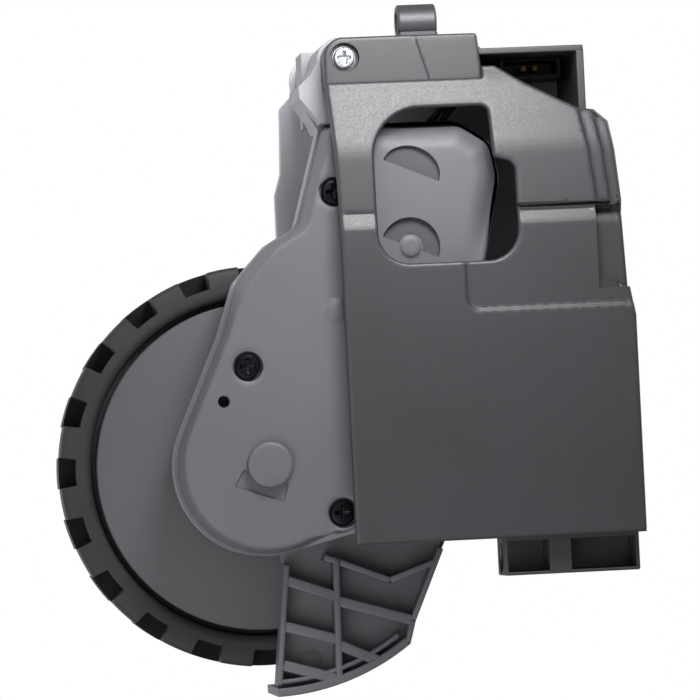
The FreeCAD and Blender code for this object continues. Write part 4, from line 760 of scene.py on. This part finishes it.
def coverRim():
    # quarter circle at the face, then the tapered wall out to the bead above the parting line
    height = coverLook["line"] - coverLook["face"]
    draw = height * math.tan(math.radians(coverLook["taper"]))
    pairs = [(draw + inset, depth) for inset, depth in roundRim(coverLook["rim"])]
    beadTop = height - coverLook["beadWidth"]
    return pairs + [(coverLook["bead"], beadTop - 0.1), (0.12, beadTop), (0.0, beadTop + 0.15)]


def domeScale(loop):
    # 1, and more round the dome over the motor, and less round the ear
    fromEar = np.hypot(loop[:, 0] - earPlace[0], loop[:, 1] - earPlace[1])
    nearMotor = smooth(*domeLook["leanX"], loop[:, 0]) * smooth(*domeLook["leanZ"], loop[:, 1])
    return 1 + domeLook["lean"] * nearMotor - domeLook["earLean"] * smooth(*domeLook["earRange"], fromEar)


def recessFloorsShade(centres, normals):
    # the floors of the two round recesses, which get painted shade
    inside = np.zeros(len(centres), bool)
    for loop in (moonUpper, sectorLower):
        inside |= edgeDistance(centres[:, [0, 2]], loop) < -0.1
    return inside & (normals[:, 1] < -0.5)


coverSolid = solidParts([coverLoop], coverHeight, coverLook["line"], coverRim(), roundRim(0.12, False, 2),
                        coverCreases(), 0.55, insetScale=domeScale)
cover = meshPiece("coverShell", [coverSolid], "etchedAbs", "arm", 24.0)
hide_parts("gearbox_cover")
# the recess floors get a darker grey as painted shade
secondFinish(cover, recessFloorsShade, "sparkedAbsPaintedShade")
print("gearbox cover made")

# Housing's near panel: bends at the X lines, with the height Y at each, then a flat face behind the slit
panel = {"bendX": (8.4, 10.4, 22.6, 33.1), "bendY": (-4.35, -4.35, -7.25, -7.7), "bend": 1.6, "face": -8.5,
         "wall": 1.8, "rim": 0.6, "lip": 0.95, "lipWidth": 2.8, "lipStart": 33.6, "lipPower": 1.3,
         "slitDepth": 0.9, "slitSoft": 0.03, "sunk": 0.38, "sunkSoft": 0.3, "corner": 2.6, "cornerSoft": 0.08,
         "cornerBack": 3.0, "flute": 0.4, "fluteWidth": 0.7, "bendStrips": (20.9, 21.7, 22.6, 23.5, 24.3),
         "lipStrips": (33.62, 33.8, 34.1, 34.5, 35.0, 35.6, 36.3)}
rightEdge = [(16.8, 29.9, 0.6), (19.0, 32.2, 1.0), (24.1, 33.0, 2.0), (35.1, 33.9, 3.0), (48.0, 34.4, 2.0),
             (53.0, 35.2, 2.0), (90.7, 35.2, 0.6)]
panelCorners = [(8.4, 10.6), (8.4, 13.0, 1.5), (11.5, 17.9, 3.0), (16.4, 27.0, 0.6)] + rightEdge
panelCorners += [(90.7, -15.6, 0.6), (33.1, -15.7, 0.4), (22.6, -16.0, 4.0), (10.4, -16.8, 0.4),
                 (10.4, 10.6, 0.1)]
windowCorners = [(15.4, -9.2, 8.5), (42.5, -9.2, 5.5), (42.5, 15.3, 5.5), (25.6, 15.3, 2.0),
                 (24.6, 11.6, 1.0), (15.4, 11.2, 1.4)]
slitLoop = roundedLoop([(33.2, 15.3, 0.1), (33.56, 15.3, 0.1), (33.56, 31.6, 0.1), (33.2, 31.6, 0.1)])
sunkLoop = roundedLoop([(33.9, 5.7, 0.1), (51.0, 5.7, 2.2), (51.0, 40.0), (33.9, 40.0)])
cornerLoop = roundedLoop([(33.7, 29.0, 0.2), (48.0, 29.0, 0.2), (48.0, 40.0), (33.7, 40.0)])
fluteLines = [np.array([(17.4, 26.7), (18.3, 26.95), (23.3, 27.9), (32.95, 29.0)]),
              np.array([(18.6, 29.4), (23.9, 30.4), (32.95, 31.3)])]


def bendHeight(x):
    # straight runs between the bend lines; each bend is rounded by averaging over its radius
    level = 0
    for shift in np.linspace(-1, 1, 9):
        level = level + np.interp(x + shift * panel["bend"], panel["bendX"], panel["bendY"])
    return level / 9


def panelHeight(points):
    # bends, then the lip's rise as a power of the way left, less the flutes, the recesses and the slit
    x, z = points[:, 0], points[:, 1]
    left = 1 - np.clip((x - panel["lipStart"]) / panel["lipWidth"], 0, 1)
    lip = panel["face"] + panel["lip"] * left ** panel["lipPower"]
    level = np.where(x > panel["lipStart"], lip, bendHeight(x))
    for line in fluteLines:
        past = z - np.interp(x, line[:, 0], line[:, 1])
        level = level + panel["flute"] * smooth(0.0, panel["fluteWidth"], past) * (x < panel["lipStart"])
    for loop, depth, soft in ((sunkLoop, "sunk", "sunkSoft"), (cornerLoop, "corner", "cornerSoft"),
                              (slitLoop, "slitDepth", "slitSoft")):
        level = level + panel[depth] * smooth(-panel[soft], panel[soft], -edgeDistance(points, loop))
    return level


def panelBack(points):
    # a wall's thickness behind the bends and the face, and further back behind the corner's recess
    x = points[:, 0]
    level = np.where(x > panel["lipStart"], panel["face"], bendHeight(x)) + panel["wall"]
    return level + panel["cornerBack"] * (edgeDistance(points, cornerLoop) < 0.1)


def lineBand(x, low, high, width):
    # thin closed strip along Z that keeps a bend's edges
    return sampled(np.array([(x, low), (x + width, low), (x + width, high), (x, high)], float), 0.8)


def panelCreases():
    # strips along the bends and the lip, then bands along the recesses' flanks and the flutes
    creases = bandLoops(slitLoop, 0.08)
    creases.append(lineBand(panel["bendX"][1], -15.0, -9.9, 0.25))
    for x in panel["bendStrips"]:
        creases.append(lineBand(x, -15.0, -9.9, 0.25))
        creases.append(lineBand(x, 16.0, 26.2, 0.25))
    for x in panel["lipStrips"]:
        creases.append(lineBand(x, -14.8, -9.9, 0.1))
        creases.append(lineBand(x, 16.0, 28.6, 0.1))
    sunkEdge = [(43.3, 5.7), (51.0, 5.7, 2.2), (51.0, 33.5), (48.4, 33.1), (48.4, 28.6), (43.3, 28.6)]
    cornerEdge = [(33.95, 29.0), (48.0, 29.0), (48.0, 33.1), (35.1, 32.7), (33.95, 32.6)]
    for corners in (sunkEdge, cornerEdge):
        loop = sampled(roundedLoop([c if len(c) > 2 else c + (0.1,) for c in corners]), 0.8)
        creases += [insetLoop(loop, shift) for shift in (0.3, 0.1, -0.1, -0.3)]
    for line in fluteLines:
        for low, high in ((0.02, 0.22), (0.45, 0.7)):
            creases.append(sampled(np.concatenate([line + [0, low], line[::-1] + [0, high]]), 0.8))
    return creases


def panelParts():
    # the outline less the window, between the two heights
    loops = [sampled(roundedLoop(panelCorners, 0.3), 0.7), sampled(roundedLoop(windowCorners, 0.3), 0.6)]
    rims = roundRim(panel["rim"]), roundRim(0.3, False, 2)
    return solidParts(loops, panelHeight, panelBack, *rims, panelCreases(), 0.6)


def alongZ(parts):
    # a prism drawn in (x, y) and carried along Y becomes one carried along Z
    return turnAxes(parts, [0, 2, 1])


# Top block with the pivot's screw recess, mounting lug, bored block at the bottom, and connector bay
block = {"near": -4.0, "far": 2.1, "pivot": (6.05, -13.2), "bore": 2.02, "recess": 2.6, "recessDepth": 1.2,
         "ridge": 0.2, "ridgeStart": -1.6, "ridgeSlope": 0.3, "flank": 0.12}
lug = {"outer": 3.085, "bore": 1.7, "half": 3.45, "neckStart": 1.9, "neckEnd": 3.9, "round": 0.5}
rear = {"x": (88.7, 90.7, 91.3, 96.7, 97.3), "z": (10.5, 11.1, 18.4, 22.2, 33.6, 34.3), "near": -4.6,
        "floor": 3.3, "far": 4.5, "lip": -7.0, "bore": 1.7, "boreAt": (94.0, -0.05), "access": 2.6}
bay = {"x": (5.3, 6.4), "z": (27.5, 28.9), "near": -3.5, "back": (20.4, 21.6), "far": 43.5, "low": 9.4}


def blockParts():
    # outline with the pivot's round end, a bore, a shallow recess for the screw's head and a slanting step
    px, pz = block["pivot"]
    flank = block["flank"]
    corners = [(px - 3.55, pz - 3.6, 3.5), (11.2, -16.8, 0.3), (11.2, 10.7, 0.3), (8.4, 10.7, 0.2),
               (2.6, 10.2, 0.6), (2.5, -3.0, 8.0)]
    outer = sampled(roundedLoop(corners, 0.3), 0.8)
    hole = circleLoop(px, pz, block["bore"], 56)
    head = circleLoop(px, pz, block["recess"], 56)

    def face(points):
        # flat, with the step across the slanting line and the recess round the pivot
        past = points[:, 1] - block["ridgeStart"] - block["ridgeSlope"] * points[:, 0]
        level = block["near"] + block["ridge"] * smooth(-flank, flank, past)
        return level + block["recessDepth"] * smooth(-flank, 0.0, -edgeDistance(points, head) - flank)

    line = np.array([(3.4, -0.58), (10.5, 1.55)])
    creases = bandLoops(head, flank)
    for low, high in ((-0.13, -0.04), (0.04, 0.13)):
        creases.append(sampled(np.concatenate([line + [0, low], line[::-1] + [0, high]]), 0.5))
    return solidParts([outer, hole], face, block["far"], roundRim(0.5), roundRim(0.3, False), creases, 0.6,
                      roundRim(0.05, steps=1))


def boredCylinder(outer, inner, half, rim):
    # closed (radius, z) section turned round the Z axis, with its middle at the origin
    section = [(inner, -half, rim / 2), (outer, -half, rim), (outer, half, rim), (inner, half, rim / 2)]
    return alongZ(revolveParts(roundedProfile(section), 0, 0, 72))


def lugParts():
    # a bored barrel along Z on a short neck
    barrel = boredCylinder(lug["outer"], lug["bore"], lug["half"], lug["round"])
    start, end, side = lug["neckStart"], lug["neckEnd"], lug["outer"]
    ring = [(end, -side, 0.3), (end, side, 0.3), (start, side), (start, -side)]
    return [barrel, alongZ(prism(ring, -lug["half"], lug["half"], lug["round"]))]


def rearParts():
    # sections in (x, y) stacked along Z: wall with an access hole, pocket, bored rib, pocket, end wall
    x, z, front, back, floor = rear["x"], rear["z"], rear["near"], rear["far"], rear["floor"]
    outside = [(x[4], front, 0.4), (x[4], back, 0.4), (x[0], back, 0.3)]
    full = [(x[0], front)] + outside
    pocket = [(x[0], front), (x[2], front, 0.2), (x[2], floor, 0.3), (x[3], floor, 0.3), (x[3], front, 0.2)]
    pocket += outside
    access = [circleLoop(*rear["boreAt"], rear["access"])]
    bore = [circleLoop(*rear["boreAt"], rear["bore"])]
    layers = [(full, (0.35, 0.0), access), (pocket, (0.0, 0.0), ()), (full, (0.0, 0.0), bore),
              (pocket, (0.0, 0.0), ()), (full, (0.0, 0.35), ())]
    stack = []
    for (corners, rims, holes), low, high in zip(layers, z[:-1], z[1:]):
        stack.append(alongZ(prism(corners, low, high, rims, holes=holes)))
    # the panel's foot stands in front of the block
    return stack + [slab(x[0], x[1] - 0.03, z[0] + 0.1, z[5] - 0.1, rear["lip"], front + 1, 0.2)]


def bayParts():
    # open box at the top right: L-shaped end wall drawn in (y, z), side wall, floor, slope and slotted back
    x0, x1 = bay["x"]
    z0, z1 = bay["z"]
    near, far, low, inner = bay["near"], bay["far"], bay["low"], bay["x"][1] - 0.2
    wall = [(near, low, 0.2), (near, z1, 0.5), (far, z1, 0.3), (far, -7.2, 0.3), (1.6, -7.2, 0.2), (1.6, low)]
    endWall = turnAxes(prism(wall, x0, x1, 0.25), [1, 0, 2])
    sideWall = slab(inner, 17.0, z0, z1 - 0.03, near, far - 0.05, 0.25)
    floor = slab(inner, 9.9, 9.5, 10.68, 1.6, 21.55)
    slope = prism([(9.2, 10.7), (17.3, z0 + 0.2), (18.35, z0 + 0.2), (10.35, 10.7)], -4.0, 21.5, 0.2)
    slot = roundedLoop([(6.8, 19.4, 0.3), (9.2, 19.4, 0.3), (9.2, 24.4, 0.3), (6.8, 24.4, 0.3)])
    plate = [(inner, 9.6), (9.8, 9.6), (9.8, 10.7), (16.9, 28.3), (16.9, z1 - 0.1), (inner, z1 - 0.1)]
    return [endWall, sideWall, floor, slope, prism(plate, *bay["back"], 0.15, holes=[slot])]


def bandCorners(path, thickness):
    # the path and its copy moved to the left by the thickness, as one closed outline
    run = np.diff(path, axis=0)
    normal = np.stack([-run[:, 1], run[:, 0]], 1) / np.hypot(run[:, 0], run[:, 1])[:, None]
    mean = np.concatenate([normal[:1], normal[:-1] + normal[1:], normal[-1:]])
    mean /= np.hypot(mean[:, 0], mean[:, 1])[:, None]
    stretch = np.sum(mean * np.concatenate([normal, normal[-1:]]), 1)
    return np.concatenate([path, (path + mean * (thickness / stretch)[:, None])[::-1]])


def topWallParts():
    # band along the right edge, from inside the panel's thickness to the far side
    path = np.array([corner[:2] for corner in rightEdge[::-1]])
    loop = sampled(roundedLoop(bandCorners(path, panel["wall"]), 0.3), 2.0)
    return solidParts([loop], lambda points: panelBack(points) - panel["wall"] / 2, bay["far"],
                      roundRim(0.1, steps=1), roundRim(0.2, False, 2))


farScrewPlaces = [(8.0, 25.5), (35.1, 30.2), (60.0, 31.6), (85.2, 31.6)]
postSection = roundedProfile([(1.02, 34.5), (2.6, 34.5, 0.2), (2.6, 43.5, 0.1), (1.02, 43.5)])
posts = [revolveParts(postSection, x, z, 40) for x, z in farScrewPlaces]
housingSolids = [panelParts(), blockParts(), topWallParts()] + lugParts() + rearParts() + bayParts() + posts
housing = meshPiece("housingMoulding", housingSolids, "polishedAbs", "housing", 32.0)
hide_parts("housing")
# large flat faces keep an even shade beside their rounded rims
evenShade = housing.modifiers.new("evenShade", "WEIGHTED_NORMAL")
evenShade.keep_sharp = True


def bayBackLight(centres, normals):
    # the near face of the plate that closes the bay, lightened by painted light in its shade
    facing = (np.abs(centres[:, 1] - bay["back"][0]) < 0.05) & (normals[:, 1] < -0.9)
    return facing & (centres[:, 0] < 17.2) & (centres[:, 2] > 9.0)


# the bay's shaded back gets a lighter grey as painted light
secondFinish(housing, bayBackLight, "greyAbsPaintedLight")
print("housing made")

# Screws with cross recesses
screwLooks = {
    "cover": {"radius": 2.15, "height": 1.0, "arm": 1.35, "width": 0.6, "depth": 0.6, "shank": 1.0,
              "sunk": 0.75, "end": 12.5},
    "hinge": {"radius": 1.82, "height": 1.03, "arm": 1.2, "width": 0.55, "depth": 0.6, "shank": 0.9,
              "top": -3.8, "end": 3.25},
    "far": {"radius": 2.25, "height": 1.38, "arm": 1.45, "width": 0.62, "depth": 0.6, "shank": 1.0,
            "top": 46.9, "under": 45.8, "end": 37.5},
}
headDome = 0.12


def crossHead(x, z, top, look):
    # domed disc with a cross in it

    def face(points):
        # top + dome (r / radius)^2, less the cross: smaller offset under half the width, larger under the arm
        u, v = np.abs(points[:, 0] - x), np.abs(points[:, 1] - z)
        narrow, wide = np.minimum(u, v), np.maximum(u, v)
        cut = smooth(look["width"] / 2 + 0.08, look["width"] / 2 - 0.05, narrow)
        cut = cut * smooth(look["arm"] + 0.1, look["arm"] - 0.25, wide)
        dome = headDome * ((u * u + v * v) / look["radius"] ** 2)
        return top + dome + look["depth"] * cut * (1 - 0.45 * wide / look["arm"])

    rim = circleLoop(x, z, look["radius"], 64)
    return solidParts([rim], face, top + look["height"], roundRim(0.25), roundRim(0.08, False, 2), (), 0.13)


def shank(x, z, radius, start, end):
    # plain cylinder whose far edge is rounded
    section = roundedProfile([(0.01, start), (radius, start), (radius, end, 0.2), (0.01, end)])
    return revolveParts(section, x, z, 28)


coverScrew, hingeScrew, farScrew = screwLooks["cover"], screwLooks["hinge"], screwLooks["far"]
coverTop, hingeTop = coverLook["face"] + coverScrew["sunk"], hingeScrew["top"]
coverSolids = []
for x, z in screwPlaces:
    coverSolids.append(crossHead(x, z, coverTop, coverScrew))
    coverSolids.append(shank(x, z, coverScrew["shank"], coverTop + 0.7, coverScrew["end"]))
coverScrewPiece = meshPiece("crossScrews", coverSolids, "blackenedSteel", "arm", 28.0)
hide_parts("cover_screws")
hingeSolids = [crossHead(*block["pivot"], hingeTop, hingeScrew),
               shank(*block["pivot"], hingeScrew["shank"], hingeTop + 0.9, hingeScrew["end"])]
hingeScrewPiece = meshPiece("pivotScrew", hingeSolids, "zincPlatedSteel", "housing", 28.0)
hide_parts("hinge_screw")
farSolids = []
for x, z in farScrewPlaces:
    # made at y = 0 and turned to face the far side
    headPoints, headFaces = crossHead(x, z, 0.0, farScrew)
    farSolids.append((headPoints * np.array([1, -1, 1]) + np.array([0, farScrew["top"], 0]), headFaces))
    farSolids.append(shank(x, z, farScrew["shank"], farScrew["end"], farScrew["under"]))
farScrewPiece = meshPiece("farScrews", farSolids, "blackenedSteel", "housing", 28.0)
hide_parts("far_cover_screws")
print("screws made")

# Torsion spring round the hinge pin: one leg lies on the arm, the other ends as the hook beside the block
spring = {"coil": 2.75, "wire": 0.45, "sides": 14, "turns": 4.25, "start": 21.05, "end": 25.18,
          "legEnd": 16.05,
          "hook": [(2.3, 13.4), (2.6, 13.9), (3.0, 14.35), (3.5, 14.7), (4.1, 14.85), (4.7, 14.85),
                   (5.2, 14.85), (5.9, 14.85)]}


def springPath():
    # helix x = r cos a, z = r sin a, y rising evenly from start to end; legs run off along the tangents
    px, pz = block["pivot"]
    radius, start, end = spring["coil"], spring["start"], spring["end"]
    angles = -math.pi / 2 - np.linspace(0, spring["turns"] * tau, 240)
    rise = np.linspace(start, end, 240)
    coil = np.stack([px + radius * np.cos(angles), rise, pz + radius * np.sin(angles)], 1)
    legX = np.linspace(spring["legEnd"], px + 0.05, 14)
    leg = np.stack([legX, np.full(14, start), np.full(14, pz - radius)], 1)
    hook = [(px - radius, z) for z in np.linspace(pz + 0.4, -6.5, 10)]
    hook += [(3.3 - 1.1 * t, -5.9 + 18.7 * t) for t in np.linspace(0, 1, 14)]
    hook = np.array(hook + spring["hook"])
    return np.concatenate([leg, coil[1:], np.column_stack([hook[:, 0], np.full(len(hook), end), hook[:, 1]])])


springParts = [tubeParts(springPath(), spring["wire"], spring["sides"])]
springPiece = meshPiece("dropSpringWire", springParts, "drawnSteel", None)
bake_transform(springPiece)
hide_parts("drop_spring")

# Motor leads: smooth curves through listed points, from the motor's terminals to the socket
leadLook = {"radius": 0.65, "steps": 14, "routes": [
    [(23.67, 40.62, -4.06), (15.4, 40.62, 5.94), (7.82, 35.62, 13.4), (7.82, 27.4, 20.5), (7.82, 20.4, 20.5)],
    [(23.67, 40.62, 4.34), (15.4, 40.62, 8.34), (7.82, 35.62, 15.4), (7.82, 27.4, 22.5), (7.82, 20.4, 22.5)],
]}


def smoothPath(route):
    # Catmull-Rom: each run is a cubic through its ends with the neighbours' slopes
    route = np.array(route, float)
    padded = np.concatenate([2 * route[:1] - route[1:2], route, 2 * route[-1:] - route[-2:-1]])
    t = np.linspace(0, 1, leadLook["steps"], endpoint=False)[:, None]
    runs = []
    for a, b, c, d in zip(padded[:-3], padded[1:-2], padded[2:-1], padded[3:]):
        bend = (2 * a - 5 * b + 4 * c - d) * t ** 2 + (3 * b - a - 3 * c + d) * t ** 3
        runs.append(0.5 * (2 * b + (c - a) * t + bend))
    return np.concatenate(runs + [route[-1:]])


leadParts = [tubeParts(smoothPath(route), leadLook["radius"]) for route in leadLook["routes"]]
leads = meshPiece("twinLeads", leadParts, "extrudedPvc", None)
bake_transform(leads)
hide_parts("motor_leads")
print("spring and leads made")

# Tyre guard: plate, ribs and walls; ribs are (start, end, width) with their ends in (x, z) from the axle
guard = {"plate": (14.05, 15.1), "near": 9.5, "far": 31.5, "radius": 40.7, "wall": 1.5, "inner": 38.5,
         "innerWall": 0.8, "sweep": 37.0, "rim": 0.35, "ribEnd": 14.6, "plateRadius": 40.2}
guardRibs = [((17.6, 3.3), (38.6, 1.0), 1.0), ((32.3, 24.0), (28.4, 25.1), 1.0),
             ((28.4, 25.1), (16.0, 30.6), 1.0), ((17.0, 12.0), (38.6, 11.6), 1.2),
             ((20.4, 3.2), (23.6, 11.8), 1.9), ((28.4, 2.4), (31.2, 11.7), 1.9),
             ((35.2, 1.8), (38.0, 11.0), 1.9), ((24.4, 12.0), (28.4, 25.0), 1.9),
             ((32.2, 12.0), (35.2, 18.6), 1.9), ((16.6, 9.9), (17.6, 12.6), 1.2),
             ((17.6, 12.6), (21.2, 21.4), 1.2), ((21.2, 21.4), (18.4, 29.4), 1.2)]
guardMarks = [(110.8, -22.2, 1.9), (101.3, -7.4, 1.4)]


def aboutAxle(radius, degrees):
    # points of an arc round the axle
    return [(axle[0] + radius * math.cos(a), axle[1] + radius * math.sin(a)) for a in np.radians(degrees)]


def arcWall(outer, wall, first, last, y0, y1):
    # band between two radii, from the first angle to the last
    sweep = np.linspace(first, last, 40)
    return prism(aboutAxle(outer, sweep) + aboutAxle(outer - wall, sweep[::-1]), y0, y1, guard["rim"])


def ribStrip(start, end, width, y0, y1):
    # rectangle of the given width about the line from start to end
    start, end = np.array(start) + axle, np.array(end) + axle
    side = np.array([start[1] - end[1], end[0] - start[0]])
    side = side / np.hypot(*side) * width / 2
    return prism([start - side, end - side, end + side, start + side], y0, y1, (guard["rim"], 0.02))


def guardParts():
    # each rib starts and ends a hair further back than the last, so that no two faces lie in one plane
    near, far, sweep, plate = guard["near"], guard["far"], guard["sweep"], guard["plate"]
    before, after = ((8, 1.5), (17.6, 2.7)), ((28.2, 25.4), (15.1, 31.1), (8, 31.3), (6, 18))
    corners = [(axle[0] + dx, axle[1] + dz, 0.3) for dx, dz in before]
    corners += aboutAxle(guard["plateRadius"], np.linspace(1.2, 36.8, 40))
    corners += [(axle[0] + dx, axle[1] + dz, 0.3) for dx, dz in after]
    solids = [prism(corners, *plate, 0.15), arcWall(guard["radius"], guard["wall"], 1, sweep, near, far),
              arcWall(guard["inner"], guard["innerWall"], 1.5, sweep - 1, near + 0.1, plate[1] - 0.1)]
    for number, (start, end, width) in enumerate(guardRibs):
        ribNear, ribFar = near + 0.02 * (number + 1), guard["ribEnd"] + 0.01 * number
        solids.append(ribStrip(start, end, width, ribNear, ribFar))
    for x, z, radius in guardMarks:
        mark = roundedProfile([(0.01, 13.93), (radius, 13.93, 0.05), (radius, 14.4), (0.01, 14.4)])
        solids.append(revolveParts(mark, x, z, 40))
    return solids


guardPiece = meshPiece("guardMoulding", guardParts(), "etchedAbs", "arm")
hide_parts("tyre_guard")
print("guard made")

# Far cover: plate with a grid of low ribs, a boss for the hinge pin and bores for the screws
farCover = {"near": 43.52, "out": 45.5, "ribStart": 45.0, "ribTop": 46.7, "rib": 1.2, "bore": 1.02,
            "levelRibs": (19.9, -1.2), "uprightRibs": (27.1, 55.0, 70.7), "boss": 5.0, "bossTop": 47.0}
farCorners = [(4.6, -7.2, 0.4), (4.6, 29.9, 0.4), (14.8, 29.9, 0.5), (18.2, 31.8, 1.0), (35.1, 33.9, 1.0),
              (48.0, 34.4, 1.0), (53.0, 35.2, 1.0), (88.0, 35.2, 0.6), (88.0, -5.4, 1.0), (79.1, -19.9, 2.0),
              (72.1, -22.2, 2.0), (26.75, -22.1, 2.0), (22.75, -20.9, 2.0), (10.95, -20.5, 1.0),
              (8.75, -18.4, 1.0), (6.05, -18.0, 1.0), (2.45, -16.2, 1.0), (1.45, -13.2, 1.5),
              (2.45, -10.2, 1.0)]


def farParts():
    # outline carried along Y, crossed by ribs of slightly different heights, with the boss turned on it
    bores = [circleLoop(x, z, farCover["bore"], 28) for x, z in farScrewPlaces]
    solids = [prism(farCorners, farCover["near"], farCover["out"], 0.3, holes=bores)]
    start, top, width = farCover["ribStart"], farCover["ribTop"], farCover["rib"]
    for number, z in enumerate(farCover["levelRibs"]):
        solids.append(slab(8.6, 84.7, z, z + width, start, top - 0.01 * number, 0.25))
    for number, x in enumerate(farCover["uprightRibs"]):
        solids.append(slab(x, x + width, -17.0, 28.9, start + 0.02, top - 0.02 - 0.01 * number, 0.25))
    radius, bossTop = farCover["boss"], farCover["bossTop"]
    boss = roundedProfile([(0.01, start), (radius, start), (radius, bossTop, 0.4), (0.01, bossTop)])
    return solids + [revolveParts(boss, *block["pivot"], 64)]


# the far cover's pale grey is partly painted light on its shaded inner face
farPiece = meshPiece("farCoverMoulding", farParts(), "paleAbsPaintedLight", "housing")
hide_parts("far_cover")
print("far cover made")

# CAD forms carried over with rounded edges; the rounding is in millimetres
carried = {
    # the case's lighter grey is painted light
    "caseMoulding": {"node": "gearbox_case", "round": 0.2, "body": "arm", "slot": "arm_plastic",
                     "finish": "greyAbsPaintedLight"},
    "motorCan": {"node": "motor_can", "round": 0.35, "body": "arm", "slot": "bright_steel",
                 "finish": "zincPlatedSteel"},
    "socketMoulding": {"node": "lead_connector", "round": 0.15, "body": "housing", "slot": "gear_plastic",
                       "finish": "mouldedNylon"},
    "switchCase": {"node": "switch_body", "round": 0.2, "body": "housing", "slot": "dark_plastic",
                   "finish": "mouldedNylon"},
}


def roundedCopy(name, look):
    # merged copy of a node: flat regions joined, then every edge sharper than 35 degrees is rounded
    mesh = nodes[look["node"]].data.copy()
    mesh.name = name
    work = bmesh.new()
    work.from_mesh(mesh)
    bmesh.ops.remove_doubles(work, verts=work.verts, dist=1e-6)
    bmesh.ops.dissolve_limit(work, angle_limit=math.radians(1.0), verts=work.verts, edges=work.edges)
    work.to_mesh(mesh)
    work.free()
    piece = bpy.data.objects.new(name, mesh)
    bpy.context.scene.collection.objects.link(piece)
    bevel = piece.modifiers.new("edges", "BEVEL")
    bevel.width = look["round"] * mm
    bevel.segments = 2
    bevel.limit_method = "ANGLE"
    bevel.angle_limit = math.radians(35)
    bevel.use_clamp_overlap = True
    bevel.miter_outer = "MITER_ARC"
    mesh.shade_smooth()
    mesh.set_sharp_from_angle(angle=math.radians(30))
    mesh.materials.clear()
    mesh.materials.append(finishes[look["finish"]])
    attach(piece, look["body"])
    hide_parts(look["node"])


for carriedName, carriedLook in carried.items():
    roundedCopy(carriedName, carriedLook)
print("carried forms made")
